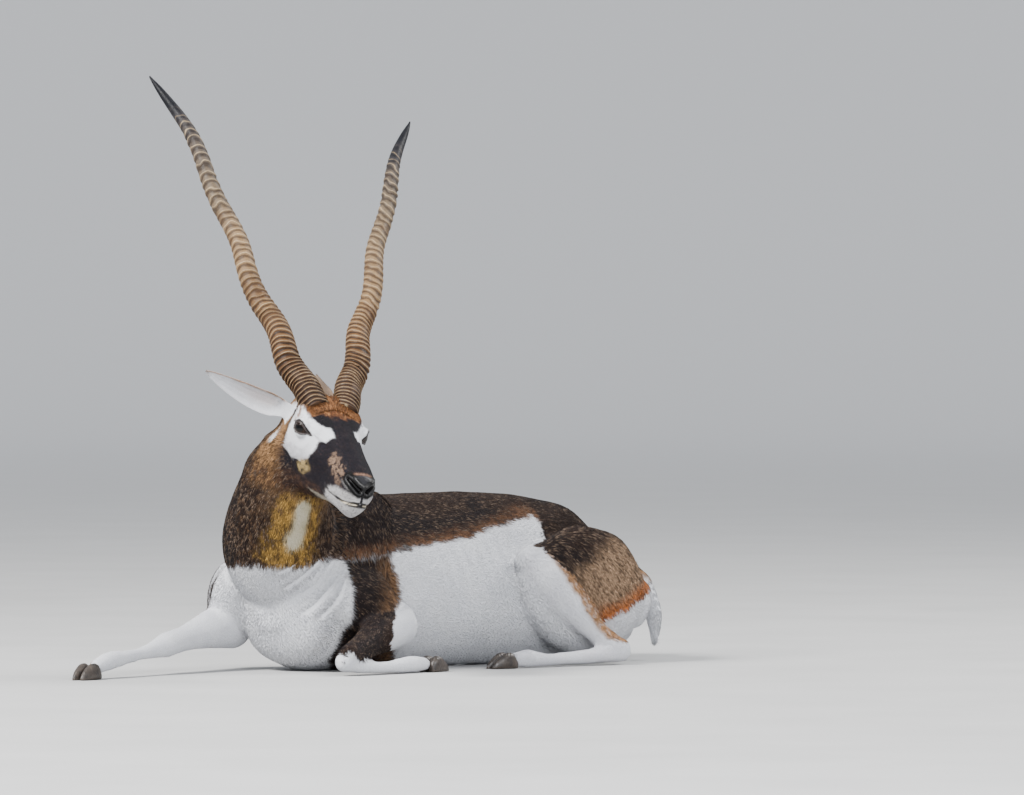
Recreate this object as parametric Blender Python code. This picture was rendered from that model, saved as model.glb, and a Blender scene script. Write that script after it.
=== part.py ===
"""Blackbuck buck lying on its chest, life size, as a still museum model.

Metres, +Z up. The floor is z = 0, and the origin is on it under the middle of the trunk. +X runs along the
trunk towards the chest, +Y to the animal's left. The trunk curves to the left, so much of the body is laid
out straight first, as (along, left, up), and then bent round a far centre by to_world().
The flesh is modelled whole from tubes that are fused, smoothed and rested on the floor, and is then parted
with thin cuts. The head, ears, eyes, horns, hooves and tail are solids of their own.
"""

import math

import bmesh
import bpy
import numpy as np
from mathutils import Matrix, Vector

# Driving sizes, in metres and degrees.
GAP = 0.0003
SPINE_TURN = 30.0
SPINE_LENGTH = 0.70
BEND_RADIUS = SPINE_LENGTH / math.radians(SPINE_TURN)

HEAD_AT = (0.3886, 0.2161, 0.3692)
HEAD_YAW = 77.5
HEAD_PITCH = 15.7
HEAD_ROLL = -9.1
HEAD_SCALE = 1.07

EYE_RADIUS = 0.0165
EYE_AT = (0.006, 0.0410, 0.0155)
LID_THICKNESS = 0.0022
EYE_OPENING = (0.0150, 0.0095)

HORN_BASE_RADIUS = 0.0194
HORN_BASE_AT = (-0.0285, 0.0282, 0.0524)
HORN_TIP_AT = (-0.4762, 0.2153, 0.3962)
HORN_TURNS = 3.78
HORN_SWAY = 0.0046
HORN_PHASE = 76.4
HORN_BOW = (0.0024, -0.0021)
HORN_LATE_BOW = (-0.0118, 0.0129)
HORN_LENGTH = 0.64
HORN_RING_PITCH = 0.0085
HORN_PITCH_GROWTH = 0.012
HORN_RINGED_TO = 0.83
HORN_RIDGE = 0.055
# share of the horn's length, and its radius there as a share of the base's
HORN_TAPER = (
    (0.00, 1.03),
    (0.10, 0.99),
    (0.20, 0.91),
    (0.35, 0.79),
    (0.50, 0.71),
    (0.65, 0.63),
    (0.80, 0.52),
    (0.90, 0.39),
    (0.96, 0.24),
    (1.00, 0.06),
)

BODY_VOXEL = 0.0065
BODY_TRIANGLES = 3200

DARK = (0.035, 0.022, 0.018, 1.0)
WHITE = (0.72, 0.71, 0.69, 1.0)
TAN = (0.30, 0.17, 0.09, 1.0)
HORN = (0.25, 0.18, 0.11, 1.0)
HOOF = (0.03, 0.027, 0.025, 1.0)
EYE = (0.012, 0.008, 0.006, 1.0)

# the first word that a node's name holds gives its colour and roughness
FINISHES = (
    ("hoof", HOOF, 0.45),
    ("horn", HORN, 0.60),
    ("eye", EYE, 0.08),
    ("ear", WHITE, 0.85),
    ("foreleg_lower_right", WHITE, 0.85),
    ("foreleg_foot", WHITE, 0.85),
    ("foreleg_upper_right", WHITE, 0.85),
    ("hindleg_lower", WHITE, 0.85),
    ("hindleg_foot", WHITE, 0.85),
    ("tail", TAN, 0.85),
    ("", DARK, 0.85),
)


def clear_scene():
    for obj in list(bpy.data.objects):
        bpy.data.objects.remove(obj)


def finish(obj):
    """Gives the node its own Principled material, and shades it smooth."""
    colour, roughness = next(row[1:] for row in FINISHES if row[0] in obj.name)
    made = bpy.data.materials.new(obj.name)
    made.use_nodes = True
    shader = made.node_tree.nodes["Principled BSDF"]
    shader.inputs["Base Color"].default_value = colour
    shader.inputs["Roughness"].default_value = roughness
    obj.data.materials.clear()
    obj.data.materials.append(made)
    count = len(obj.data.polygons)
    obj.data.polygons.foreach_set("material_index", [0] * count)
    obj.data.polygons.foreach_set("use_smooth", [True] * count)


# Curves and frames.


def spline(knots, values, at):
    """Cubic through the values at the knots, with slopes from the neighbours' chords."""
    knots = np.asarray(knots, float)
    values = np.asarray(values, float)
    at = np.asarray(at, float)
    slope = np.gradient(values, knots, axis=0)
    i = np.clip(np.searchsorted(knots, at, side="right") - 1, 0, len(knots) - 2)
    width = knots[i + 1] - knots[i]
    f = (at - knots[i]) / width
    if values.ndim > 1:
        width = width[:, None]
        f = f[:, None]
    return (
        values[i] * (1 + 2 * f) * (1 - f) ** 2
        + values[i + 1] * f * f * (3 - 2 * f)
        + slope[i] * width * f * (1 - f) ** 2
        - slope[i + 1] * width * f * f * (1 - f)
    )


def to_world(points):
    """Bends (along, left, up) points round a centre that lies BEND_RADIUS to the animal's left."""
    points = np.asarray(points, float)
    turn = points[..., 0] / BEND_RADIUS
    reach = BEND_RADIUS - points[..., 1]
    return np.stack([reach * np.sin(turn), BEND_RADIUS - reach * np.cos(turn), points[..., 2]], -1)


def head_matrix():
    """Head axes in the row's frame: x to the nose, y to its left, z to its crown."""
    turn = Matrix.Rotation(math.radians(HEAD_YAW), 4, "Z")
    nod = Matrix.Rotation(math.radians(HEAD_PITCH), 4, "Y")
    tilt = Matrix.Rotation(math.radians(HEAD_ROLL), 4, "X")
    return Matrix.Translation(HEAD_AT) @ turn @ nod @ tilt @ Matrix.Scale(HEAD_SCALE, 4)


def unit(vectors):
    return vectors / np.linalg.norm(vectors, axis=-1, keepdims=True)


def superellipse(angles, power):
    """Unit outline between a diamond and a box; power 2 is a circle."""
    c = np.cos(angles)
    s = np.sin(angles)
    return np.sign(c) * np.abs(c) ** (2 / power), np.sign(s) * np.abs(s) ** (2 / power)


# Solids from rings.


def solid_from_rings(name, rings):
    """Closed solid through the rings, an array of (ring, point, 3), with a flat cap at each end."""
    mesh = bpy.data.meshes.new(name)
    build = bmesh.new()
    loops = [[build.verts.new(point) for point in ring] for ring in rings]
    for low, high in zip(loops, loops[1:]):
        for i, corner in enumerate(low):
            j = (i + 1) % len(low)
            build.faces.new((corner, low[j], high[j], high[i]))
    build.faces.new(loops[0][::-1])
    build.faces.new(loops[-1])
    bmesh.ops.recalc_face_normals(build, faces=build.faces)
    if build.calc_volume(signed=True) < 0:
        bmesh.ops.reverse_faces(build, faces=build.faces)
    build.to_mesh(mesh)
    build.free()
    obj = bpy.data.objects.new(name, mesh)
    bpy.context.scene.collection.objects.link(obj)
    return obj


def tube(name, stations, side_hint, steps=16, sides=16, power=2.0, grow=0.0):
    """Tube with round ends along a smooth path. A station is (x, y, z, radius across, radius along
    the other way); "across" is the part of side_hint that is square to the path."""
    stations = np.asarray(stations, float)
    chord = np.r_[0, np.cumsum(np.linalg.norm(np.diff(stations[:, :3], axis=0), axis=1))]
    at = np.linspace(0, chord[-1], steps)
    path = spline(chord, stations[:, :3], at)
    radii = spline(chord, stations[:, 3:5], at) + grow
    along = unit(np.gradient(path, at, axis=0))
    hint = np.asarray(side_hint, float)
    if hint.ndim > 1:
        hint = spline(chord, hint, at)
    across = unit(hint - (hint * along).sum(-1, keepdims=True) * along)
    other = np.cross(along, across)
    ends = np.radians([80, 55, 28])
    lift = np.sin(ends)[:, None]
    shrink = np.cos(ends)[:, None]
    reach = radii.min(axis=1)
    path = np.r_[path[0] - along[0] * reach[0] * lift, path, path[-1] + along[-1] * reach[-1] * lift[::-1]]
    radii = np.r_[radii[0] * shrink, radii, radii[-1] * shrink[::-1]]
    across = np.r_[np.repeat(across[:1], 3, 0), across, np.repeat(across[-1:], 3, 0)]
    other = np.r_[np.repeat(other[:1], 3, 0), other, np.repeat(other[-1:], 3, 0)]
    angles = np.linspace(0, 2 * math.pi, sides, endpoint=False)
    c, s = superellipse(angles, power)
    rings = (
        path[:, None]
        + across[:, None] * (radii[:, :1] * c)[..., None]
        + other[:, None] * (radii[:, 1:] * s)[..., None]
    )
    return solid_from_rings(name, rings)


# The trunk and the neck.

# along, top, bottom, half width, height of the widest place
TRUNK = (
    (-0.336, 0.118, 0.080, 0.014, 0.100),
    (-0.329, 0.138, 0.050, 0.034, 0.095),
    (-0.306, 0.163, 0.020, 0.056, 0.095),
    (-0.270, 0.197, 0.000, 0.076, 0.100),
    (-0.220, 0.245, -0.004, 0.090, 0.105),
    (-0.150, 0.266, -0.004, 0.104, 0.100),
    (-0.060, 0.277, -0.004, 0.120, 0.095),
    (0.040, 0.279, -0.004, 0.126, 0.105),
    (0.130, 0.277, -0.004, 0.120, 0.120),
    (0.210, 0.276, -0.004, 0.112, 0.130),
    (0.285, 0.258, -0.004, 0.108, 0.125),
    (0.340, 0.228, 0.002, 0.102, 0.118),
    (0.384, 0.190, 0.030, 0.076, 0.112),
    (0.404, 0.155, 0.068, 0.032, 0.110),
)


def trunk_rings(steps=34, sides=28):
    knots = [row[0] for row in TRUNK]
    ease = 0.5 - 0.5 * np.cos(np.linspace(0, math.pi, steps))
    along = knots[0] + (knots[-1] - knots[0]) * (0.6 * ease + 0.4 * np.linspace(0, 1, steps))
    top, bottom, half, widest = spline(knots, [row[1:] for row in TRUNK], along).T
    angles = np.linspace(0, 2 * math.pi, sides, endpoint=False)
    c, s = superellipse(angles, 2.2)
    reach = np.where(s > 0, (top - widest)[:, None], (widest - bottom)[:, None])
    up = widest[:, None] + reach * s
    left = half[:, None] * c
    return to_world(np.stack([np.broadcast_to(along[:, None], up.shape), left, up], -1))


# x, y, z, half width, half depth from nape to throat
NECK = (
    (0.215, 0.018, 0.165, 0.084, 0.098),
    (0.296, 0.026, 0.172, 0.100, 0.110),
    (0.360, 0.042, 0.208, 0.095, 0.108),
    (0.385, 0.079, 0.258, 0.082, 0.095),
    (0.394, 0.113, 0.306, 0.070, 0.082),
    (0.390, 0.148, 0.344, 0.062, 0.068),
    (0.384, 0.172, 0.364, 0.056, 0.055),
)
NECK_TURN = (15.0, 20.0, 34.0, 52.0, 66.0, 74.0, 77.0)


def neck_sides():
    """The neck's left at each station: it turns from the chest's left to the head's."""
    turn = np.radians(NECK_TURN)
    return np.stack([-np.sin(turn), np.cos(turn), 0 * turn], -1)


# Limbs. Stations in the trunk's straight frame are (along, left, up, radius across, other radius).


def bent(stations):
    stations = np.asarray(stations, float)
    return np.c_[to_world(stations[:, :3]), stations[:, 3:]]


def mirrored(stations):
    stations = np.array(stations, float)
    stations[:, 1] *= -1
    return stations


LEFT = (0.0, 1.0, 0.0)

SHOULDER_BLADE = (
    (0.200, 0.048, 0.258, 0.022, 0.040),
    (0.235, 0.068, 0.215, 0.030, 0.058),
    (0.275, 0.080, 0.165, 0.036, 0.062),
    (0.295, 0.084, 0.125, 0.036, 0.050),
)
UPPER_ARM_LEFT = (
    (0.330, 0.084, 0.135, 0.036, 0.046),
    (0.285, 0.106, 0.108, 0.038, 0.054),
    (0.245, 0.117, 0.078, 0.034, 0.042),
)
UPPER_ARM_RIGHT = (
    (0.345, -0.078, 0.158, 0.036, 0.044),
    (0.368, -0.094, 0.128, 0.042, 0.050),
    (0.366, -0.106, 0.086, 0.038, 0.044),
)
# The lower legs are in the row's frame.
FOREARM_LEFT = (
    (0.205, 0.139, 0.074, 0.036, 0.040),
    (0.255, 0.167, 0.062, 0.031, 0.034),
    (0.310, 0.198, 0.042, 0.023, 0.024),
    (0.352, 0.222, 0.028, 0.022, 0.023),
)
CANNON_LEFT = (
    (0.360, 0.224, 0.022, 0.019, 0.018),
    (0.325, 0.226, 0.014, 0.0125, 0.0125),
    (0.270, 0.216, 0.012, 0.0115, 0.0115),
    (0.222, 0.205, 0.014, 0.0150, 0.0150),
    (0.190, 0.196, 0.013, 0.0125, 0.0125),
)
FOREARM_RIGHT = (
    (0.385, -0.064, 0.070, 0.036, 0.040),
    (0.440, -0.040, 0.066, 0.031, 0.033),
    (0.505, -0.012, 0.054, 0.022, 0.023),
    (0.556, 0.010, 0.046, 0.0215, 0.022),
)
CANNON_RIGHT = (
    (0.560, 0.012, 0.045, 0.020, 0.020),
    (0.600, 0.029, 0.038, 0.0130, 0.0135),
    (0.655, 0.052, 0.031, 0.0120, 0.0125),
    (0.704, 0.072, 0.026, 0.0155, 0.0160),
    (0.732, 0.083, 0.019, 0.0130, 0.0135),
)
HAUNCH = (
    (-0.052, 0.132, 0.172, 0.018, 0.022),
    (-0.080, 0.126, 0.160, 0.034, 0.052),
    (-0.130, 0.112, 0.138, 0.048, 0.092),
    (-0.190, 0.095, 0.120, 0.054, 0.108),
    (-0.240, 0.080, 0.110, 0.054, 0.102),
    (-0.285, 0.064, 0.100, 0.045, 0.072),
    (-0.312, 0.054, 0.094, 0.030, 0.046),
)
SHANK = (
    (-0.062, 0.136, 0.176, 0.024, 0.026),
    (-0.100, 0.141, 0.138, 0.028, 0.034),
    (-0.150, 0.147, 0.090, 0.024, 0.030),
    (-0.195, 0.152, 0.050, 0.018, 0.021),
    (-0.228, 0.154, 0.026, 0.019, 0.022),
)
HOCK_CANNON = (
    (-0.236, 0.155, 0.024, 0.019, 0.021),
    (-0.195, 0.160, 0.018, 0.0140, 0.0150),
    (-0.130, 0.166, 0.014, 0.0120, 0.0125),
    (-0.060, 0.170, 0.013, 0.0120, 0.0125),
    (-0.030, 0.171, 0.015, 0.0155, 0.0155),
    (-0.004, 0.171, 0.014, 0.0130, 0.0130),
)


def body_tubes():
    """Every tube of flesh below the head, as separate overlapping solids."""
    hind = {"HAUNCH": HAUNCH, "SHANK": SHANK, "CANNON": HOCK_CANNON}
    made = [solid_from_rings("trunk", trunk_rings())]
    made.append(tube("neck_form", NECK, neck_sides(), steps=18, sides=24))
    for side, flip in (("left", np.array), ("right", mirrored)):
        made.append(tube("blade_" + side, bent(flip(SHOULDER_BLADE)), LEFT))
        for part, stations in hind.items():
            made.append(tube(part + "_" + side, bent(flip(stations)), LEFT))
    made.append(tube("arm_left", bent(UPPER_ARM_LEFT), LEFT))
    made.append(tube("arm_right", bent(UPPER_ARM_RIGHT), LEFT))
    made.append(tube("forearm_left", FOREARM_LEFT, (-0.5, 0.87, 0)))
    made.append(tube("forearm_right", FOREARM_RIGHT, (-0.4, 0.92, 0)))
    made.append(tube("cannon_left", CANNON_LEFT, (-0.2, 0.98, 0)))
    made.append(tube("cannon_right", CANNON_RIGHT, (-0.4, 0.92, 0)))
    return made


# The head, in centimetres in its own frame before HEAD_SCALE.

# x, crown, brow y and z, cheek y and z, jaw y and z, underside
HEAD = (
    (-9.0, 3.0, 2.9, 2.4, 4.1, -0.8, 3.1, -3.9, -5.0),
    (-8.0, 4.1, 3.4, 3.3, 4.7, -0.5, 3.6, -4.7, -6.2),
    (-6.0, 5.1, 3.8, 4.1, 5.1, -0.2, 3.9, -5.4, -7.4),
    (-3.0, 5.8, 4.0, 4.5, 5.1, 0.1, 3.9, -6.0, -8.3),
    (-1.0, 5.4, 4.4, 3.9, 5.2, 0.3, 3.8, -6.4, -8.5),
    (1.0, 4.6, 4.6, 3.2, 5.0, 0.2, 3.6, -6.3, -8.4),
    (3.0, 3.9, 4.0, 2.6, 4.5, -0.3, 3.2, -6.1, -8.1),
    (5.0, 3.2, 3.0, 2.1, 3.9, -0.9, 2.8, -5.8, -7.7),
    (8.0, 2.3, 2.3, 1.4, 3.1, -1.5, 2.4, -5.6, -7.4),
    (11.0, 1.4, 2.0, 0.6, 2.8, -2.1, 2.1, -5.6, -7.4),
    (13.5, 0.6, 2.0, -0.2, 2.6, -2.5, 1.9, -5.7, -7.5),
    (15.1, -0.1, 1.9, -0.9, 2.3, -2.7, 1.6, -5.6, -7.2),
    (16.2, -0.9, 1.5, -1.6, 1.85, -2.9, 1.25, -5.2, -6.4),
    (16.8, -1.8, 0.9, -2.2, 1.15, -3.1, 0.7, -4.6, -5.4),
)
# x, y and z of each ear's root and tip, and the way its cup opens: the right ear stands out sideways and
# the left one is laid back
EARS = {
    "left": ((-6.2, 3.4, 3.6), (-17.0, 3.4, 5.4), (0.00, 0.94, 0.34)),
    "right": ((-4.8, -4.6, 2.2), (-9.8, -17.1, 5.1), (0.80, -0.18, -0.35)),
}
EAR_LENGTH_STEPS = 10
EAR_WIDTH = 0.0218
# how far the middle of the right ear hangs below the line from its root to its tip
EAR_SAG = {"left": 0.0, "right": 0.0075}


def head_rings(steps=21, sides=24):
    """Closed outlines across the head, in metres in the head's frame."""
    rows = np.array(HEAD)
    x = spline(np.linspace(0, 1, len(rows)), rows[:, 0], np.linspace(0, 1, steps))
    top, brow_y, brow_z, cheek_y, cheek_z, jaw_y, jaw_z, under = spline(rows[:, 0], rows[:, 1:], x).T
    none = np.zeros_like(x)
    left = np.stack([none, 0.55 * brow_y, brow_y, cheek_y, jaw_y, 0.5 * jaw_y, none], 1)
    up = np.stack([top, 0.3 * brow_z + 0.7 * top, brow_z, cheek_z, jaw_z, 0.3 * jaw_z + 0.7 * under, under], 1)
    y = np.concatenate([left, -left[:, -2:0:-1]], 1)
    z = np.concatenate([up, up[:, -2:0:-1]], 1)
    count = y.shape[1]
    turns = np.linspace(0, count, sides, endpoint=False) + count
    wrap = np.arange(3 * count)
    rings = []
    for at, ring_y, ring_z in zip(x, y, z):
        corners = np.tile(np.stack([ring_y, ring_z], 1), (3, 1))
        outline = spline(wrap, corners, turns)
        rings.append(np.c_[np.full(sides, at), outline])
    return np.array(rings) / 100


def in_head(points):
    """Points of the head's frame, in metres, taken to the row's frame."""
    turned = np.array(head_matrix())
    return np.asarray(points) @ turned[:3, :3].T + turned[:3, 3]


def ear_rings(word, sides=16):
    """A leaf-shaped cup: each ring is a crescent, deep at the base and thin towards the tip."""
    base, tip, mouth = (np.array(row) for row in EARS[word])
    base = base / 100
    tip = tip / 100
    along = (tip - base) / np.linalg.norm(tip - base)
    mouth = unit(mouth - (mouth @ along) * along)
    across = np.cross(mouth, along)
    rings = []
    for f in np.linspace(0, 1, EAR_LENGTH_STEPS):
        wide = EAR_WIDTH * math.sin(math.pi * (0.16 + 0.84 * f)) ** 0.62 * (1 - 0.36 * f) + 0.0012
        wide = wide * (0.80 + 0.20 * min(1.0, f / 0.25))
        thick = 0.0035 * (1 - 0.55 * f)
        deep = 0.62 * wide * (1 - 0.35 * f)
        open_from = min(1.0, f / 0.16)
        bow = math.sin(math.pi * f)
        centre = base + along * f * np.linalg.norm(tip - base) - mouth * 0.006 * bow
        centre[2] -= EAR_SAG[word] * bow
        ring = []
        half = sides // 2
        for k in range(sides):
            outer = k < half
            s = -1 + 2 * (k if outer else sides - 1 - k) / (half - 1)
            curve = deep * (1 - s * s)
            back = -curve - (thick if outer else -thick * open_from * (1 - s * s * 0.7))
            if not outer:
                back = back * open_from + (wide * 0.35) * (1 - s * s) * (1 - open_from)
            ring.append(centre + across * wide * s + mouth * back)
        rings.append(ring)
    return np.array(rings)


def horn_centre(at, side):
    """Middle of the horn at a share of its length: a line that bows a little, wound as an open spiral."""
    at = np.asarray(at, float)
    base = np.array([HORN_BASE_AT[0], side * HORN_BASE_AT[1], HORN_BASE_AT[2]])
    tip = np.array([HORN_TIP_AT[0], side * HORN_TIP_AT[1], HORN_TIP_AT[2]])
    along = (tip - base) / np.linalg.norm(tip - base)
    out = unit(np.array([0.0, side, 0.0]) - side * along[1] * along)
    fore = np.cross(out, along) * side
    first = math.radians(HORN_PHASE)
    sway = HORN_SWAY * np.clip(at / 0.12, 0, 1) * (1 - at) ** 0.377
    turn = 2 * math.pi * HORN_TURNS * at**0.757 + first
    bow = 4 * at * (1 - at)
    late = 9.48 * at**3 * (1 - at)
    outward = sway * (np.cos(turn) - math.cos(first)) + HORN_BOW[0] * bow + HORN_LATE_BOW[0] * late
    forward = sway * (np.sin(turn) - math.sin(first)) + HORN_BOW[1] * bow + HORN_LATE_BOW[1] * late
    return base + (tip - base) * at[..., None] + out * outward[..., None] + fore * forward[..., None]


def horn_ring_count(at):
    """How many rings lie below a share of the horn's length; their pitch grows towards the tip."""
    rate = HORN_LENGTH / HORN_PITCH_GROWTH
    return rate * np.log(1 + np.asarray(at) * HORN_PITCH_GROWTH / HORN_RING_PITCH)


def horn_shares(per_ring=2, smooth_steps=7):
    """Shares of the length with a crest and a trough for each ring, then the smooth tip."""
    rate = HORN_LENGTH / HORN_PITCH_GROWTH
    last = int(horn_ring_count(HORN_RINGED_TO))
    count = np.arange(0, last * per_ring + 1) / per_ring
    ringed = (np.exp(count / rate) - 1) * HORN_RING_PITCH / HORN_PITCH_GROWTH
    tip = np.linspace(ringed[-1], 1, smooth_steps + 1)[1:]
    return np.r_[ringed, tip]


def horn_rings(side, sides=8):
    at = np.r_[-0.02, horn_shares()]
    inside = np.clip(at, 0, 1)
    middle = horn_centre(inside, side)
    first = unit(middle[2] - middle[1])
    middle[0] = middle[1] - first * 0.02 * HORN_LENGTH
    along = unit(np.gradient(middle, axis=0))
    across = unit(np.cross(along, (1.0, 0.0, 0.0)))
    other = np.cross(along, across)
    taper = np.array(HORN_TAPER)
    radius = HORN_BASE_RADIUS * spline(taper[:, 0], taper[:, 1], inside)
    ringed = np.clip((HORN_RINGED_TO - inside) / 0.06, 0, 1)
    radius = radius * (1 - HORN_RIDGE * ringed * np.cos(2 * math.pi * horn_ring_count(inside)))
    angles = np.linspace(0, 2 * math.pi, sides, endpoint=False)
    turned = np.cos(angles)[None, :, None] * across[:, None] + np.sin(angles)[None, :, None] * other[:, None]
    return middle[:, None] + turned * radius[:, None, None]


# Feet and tail.

# share of the claw's length from heel to toe, height, half width
CLAW = (
    (0.00, 0.55, 0.62),
    (0.15, 0.92, 0.95),
    (0.40, 1.00, 1.00),
    (0.70, 0.72, 0.78),
    (0.90, 0.40, 0.45),
    (1.00, 0.16, 0.16),
)
CLAW_LENGTH = 0.046
CLAW_HEIGHT = 0.025
CLAW_HALF_WIDTH = 0.0085
CLAW_APART = 0.0024


def claw_rings(at, heading, side, steps=7, sides=8):
    """One claw of a cloven hoof, flat on the floor, its heel at `at` and its toe along `heading`."""
    knots = [row[0] for row in CLAW]
    share = np.linspace(0, 1, steps)
    height, width = spline(knots, [row[1:] for row in CLAW], share).T
    turn = math.radians(heading)
    fore = np.array([math.cos(turn), math.sin(turn), 0.0])
    left = np.array([-math.sin(turn), math.cos(turn), 0.0])
    angles = np.linspace(0, 2 * math.pi, sides, endpoint=False)
    c, s = superellipse(angles, 2.6)
    middle = side * (CLAW_HALF_WIDTH + CLAW_APART / 2)
    inward = np.clip(share - 0.2, 0, 1) * -0.0030 * side
    rings = []
    for k in range(steps):
        half = CLAW_HALF_WIDTH * max(width[k], 0.12)
        tall = CLAW_HEIGHT * max(height[k], 0.14)
        centre = np.asarray(at) + fore * share[k] * CLAW_LENGTH + left * (middle + inward[k])
        lean = 0.82 + 0.18 * (1 - s)
        ring = centre + left * (half * c * lean)[:, None]
        ring = ring + np.outer(tall * (0.5 + 0.5 * s), (0, 0, 1))
        rings.append(ring)
    return np.array(rings)


TAIL = (
    (-0.320, 0.000, 0.150, 0.016, 0.014),
    (-0.342, 0.004, 0.130, 0.019, 0.014),
    (-0.356, 0.014, 0.098, 0.020, 0.013),
    (-0.360, 0.024, 0.064, 0.017, 0.011),
    (-0.358, 0.030, 0.034, 0.010, 0.008),
)

# heel of each foot, and the heading of its toes in degrees
FEET = {
    "hindleg_left": ((0.002, 0.171, 0.0), 1.0),
    "hindleg_right": ((0.002, -0.171, 0.0), -1.0),
    "foreleg_right": ((0.737, 0.085, 0.0), 23.0),
    "foreleg_left": ((0.186, 0.195, 0.0), 196.0),
}


# Boolean work.


def apply_modifiers(obj):
    graph = bpy.context.evaluated_depsgraph_get()
    graph.update()
    mesh = bpy.data.meshes.new_from_object(obj.evaluated_get(graph), depsgraph=graph)
    obj.modifiers.clear()
    obj.data = mesh
    return obj


def boolean(obj, others, operation, solver="EXACT"):
    """Joins or cuts with every object in the list at once, and removes them. The exact solver leaves slivers
    where many cutters meet the neck and the torso, so those two take the manifold one."""
    group = bpy.data.collections.new("cutters")
    for other in others:
        group.objects.link(other)
    step = obj.modifiers.new("step", "BOOLEAN")
    step.operation = operation
    step.operand_type = "COLLECTION"
    step.collection = group
    step.solver = solver
    apply_modifiers(obj)
    for other in others:
        bpy.data.objects.remove(other)
    bpy.data.collections.remove(group)
    return obj


def copy_of(obj, name):
    made = bpy.data.objects.new(name, obj.data.copy())
    bpy.context.scene.collection.objects.link(made)
    return made


def keep_largest(obj):
    """Leaves only the surface that holds the most volume."""
    build = bmesh.new()
    build.from_mesh(obj.data)
    left = set(build.faces)
    parts = []
    while left:
        stack = [left.pop()]
        found = list(stack)
        while stack:
            for edge in stack.pop().edges:
                for face in edge.link_faces:
                    if face in left:
                        left.remove(face)
                        stack.append(face)
                        found.append(face)
        parts.append(found)
    if len(parts) > 1:
        sizes = []
        for found in parts:
            volume = sum(face.verts[0].co.dot(face.normal) * face.calc_area() for face in found)
            sizes.append(volume)
        best = sizes.index(max(sizes))
        drop = [face for i, found in enumerate(parts) if i != best for face in found]
        bmesh.ops.delete(build, geom=drop, context="FACES")
        loose = [vert for vert in build.verts if not vert.link_faces]
        bmesh.ops.delete(build, geom=loose, context="VERTS")
    build.to_mesh(obj.data)
    build.free()
    return obj


def rest_on_floor(obj, sink=0.0006):
    """Levels whatever reaches the floor or passes it."""
    for vert in obj.data.vertices:
        if vert.co.z < sink:
            vert.co.z = 0.0
    return obj


def fused_body():
    tubes = body_tubes()
    body = tubes[0]
    boolean(body, tubes[1:], "UNION")
    remesh = body.modifiers.new("remesh", "REMESH")
    remesh.mode = "VOXEL"
    remesh.voxel_size = BODY_VOXEL
    smooth = body.modifiers.new("smooth", "SMOOTH")
    smooth.factor = 0.5
    smooth.iterations = 5
    apply_modifiers(body)
    thin = body.modifiers.new("thin", "DECIMATE")
    thin.ratio = min(1.0, BODY_TRIANGLES / max(1, 2 * len(body.data.polygons)))
    apply_modifiers(body)
    rest_on_floor(body, 0.0015)
    return keep_largest(body)


NECK_CUT_AT = (0.300, 0.040, 0.225)
NECK_CUT_NORMAL = (0.58, 0.10, 0.81)


def half_space(offset):
    """A box that fills the side of the neck's cut that the head is on."""
    normal = Vector(NECK_CUT_NORMAL).normalized()
    centre = Vector(NECK_CUT_AT) + normal * (0.5 + offset)
    mesh = bpy.data.meshes.new("half")
    build = bmesh.new()
    turn = normal.to_track_quat("Z", "Y").to_matrix().to_4x4()
    bmesh.ops.create_cube(build, size=1.0, matrix=Matrix.Translation(centre) @ turn)
    build.to_mesh(mesh)
    build.free()
    obj = bpy.data.objects.new("half", mesh)
    bpy.context.scene.collection.objects.link(obj)
    return obj


def ball(name, centre, radius, sides=16):
    mesh = bpy.data.meshes.new(name)
    build = bmesh.new()
    bmesh.ops.create_uvsphere(build, u_segments=sides, v_segments=sides // 2, radius=radius)
    build.to_mesh(mesh)
    build.free()
    mesh.transform(Matrix.Translation(Vector(centre)))
    obj = bpy.data.objects.new(name, mesh)
    bpy.context.scene.collection.objects.link(obj)
    return obj


# centre (along, left, up), radii and forward lean in degrees of the flesh each upper leg takes
UPPER_ZONES = {
    "foreleg_upper_left": ((0.275, 0.112, 0.150), (0.068, 0.060, 0.125), -14.0),
    "foreleg_upper_right": ((0.315, -0.108, 0.145), (0.066, 0.058, 0.120), 20.0),
    "hindleg_upper_left": ((-0.195, 0.090, 0.105), (0.150, 0.078, 0.125), -12.0),
    "hindleg_upper_right": ((-0.195, -0.090, 0.105), (0.150, 0.078, 0.125), -12.0),
}


def egg(centre, radii, lean, more):
    """Ellipsoid in the trunk's straight frame, bent with the trunk."""
    mesh = bpy.data.meshes.new("egg")
    build = bmesh.new()
    bmesh.ops.create_uvsphere(build, u_segments=16, v_segments=10, radius=1.0)
    build.to_mesh(mesh)
    build.free()
    size = Matrix.Diagonal((*(radius + more for radius in radii), 1.0))
    turn = Matrix.Rotation(math.radians(lean), 4, "Y")
    mesh.transform(Matrix.Translation(Vector(centre)) @ turn @ size)
    for vert in mesh.vertices:
        vert.co = Vector(to_world(np.array(vert.co)))
    obj = bpy.data.objects.new("egg", mesh)
    bpy.context.scene.collection.objects.link(obj)
    return obj


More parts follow.
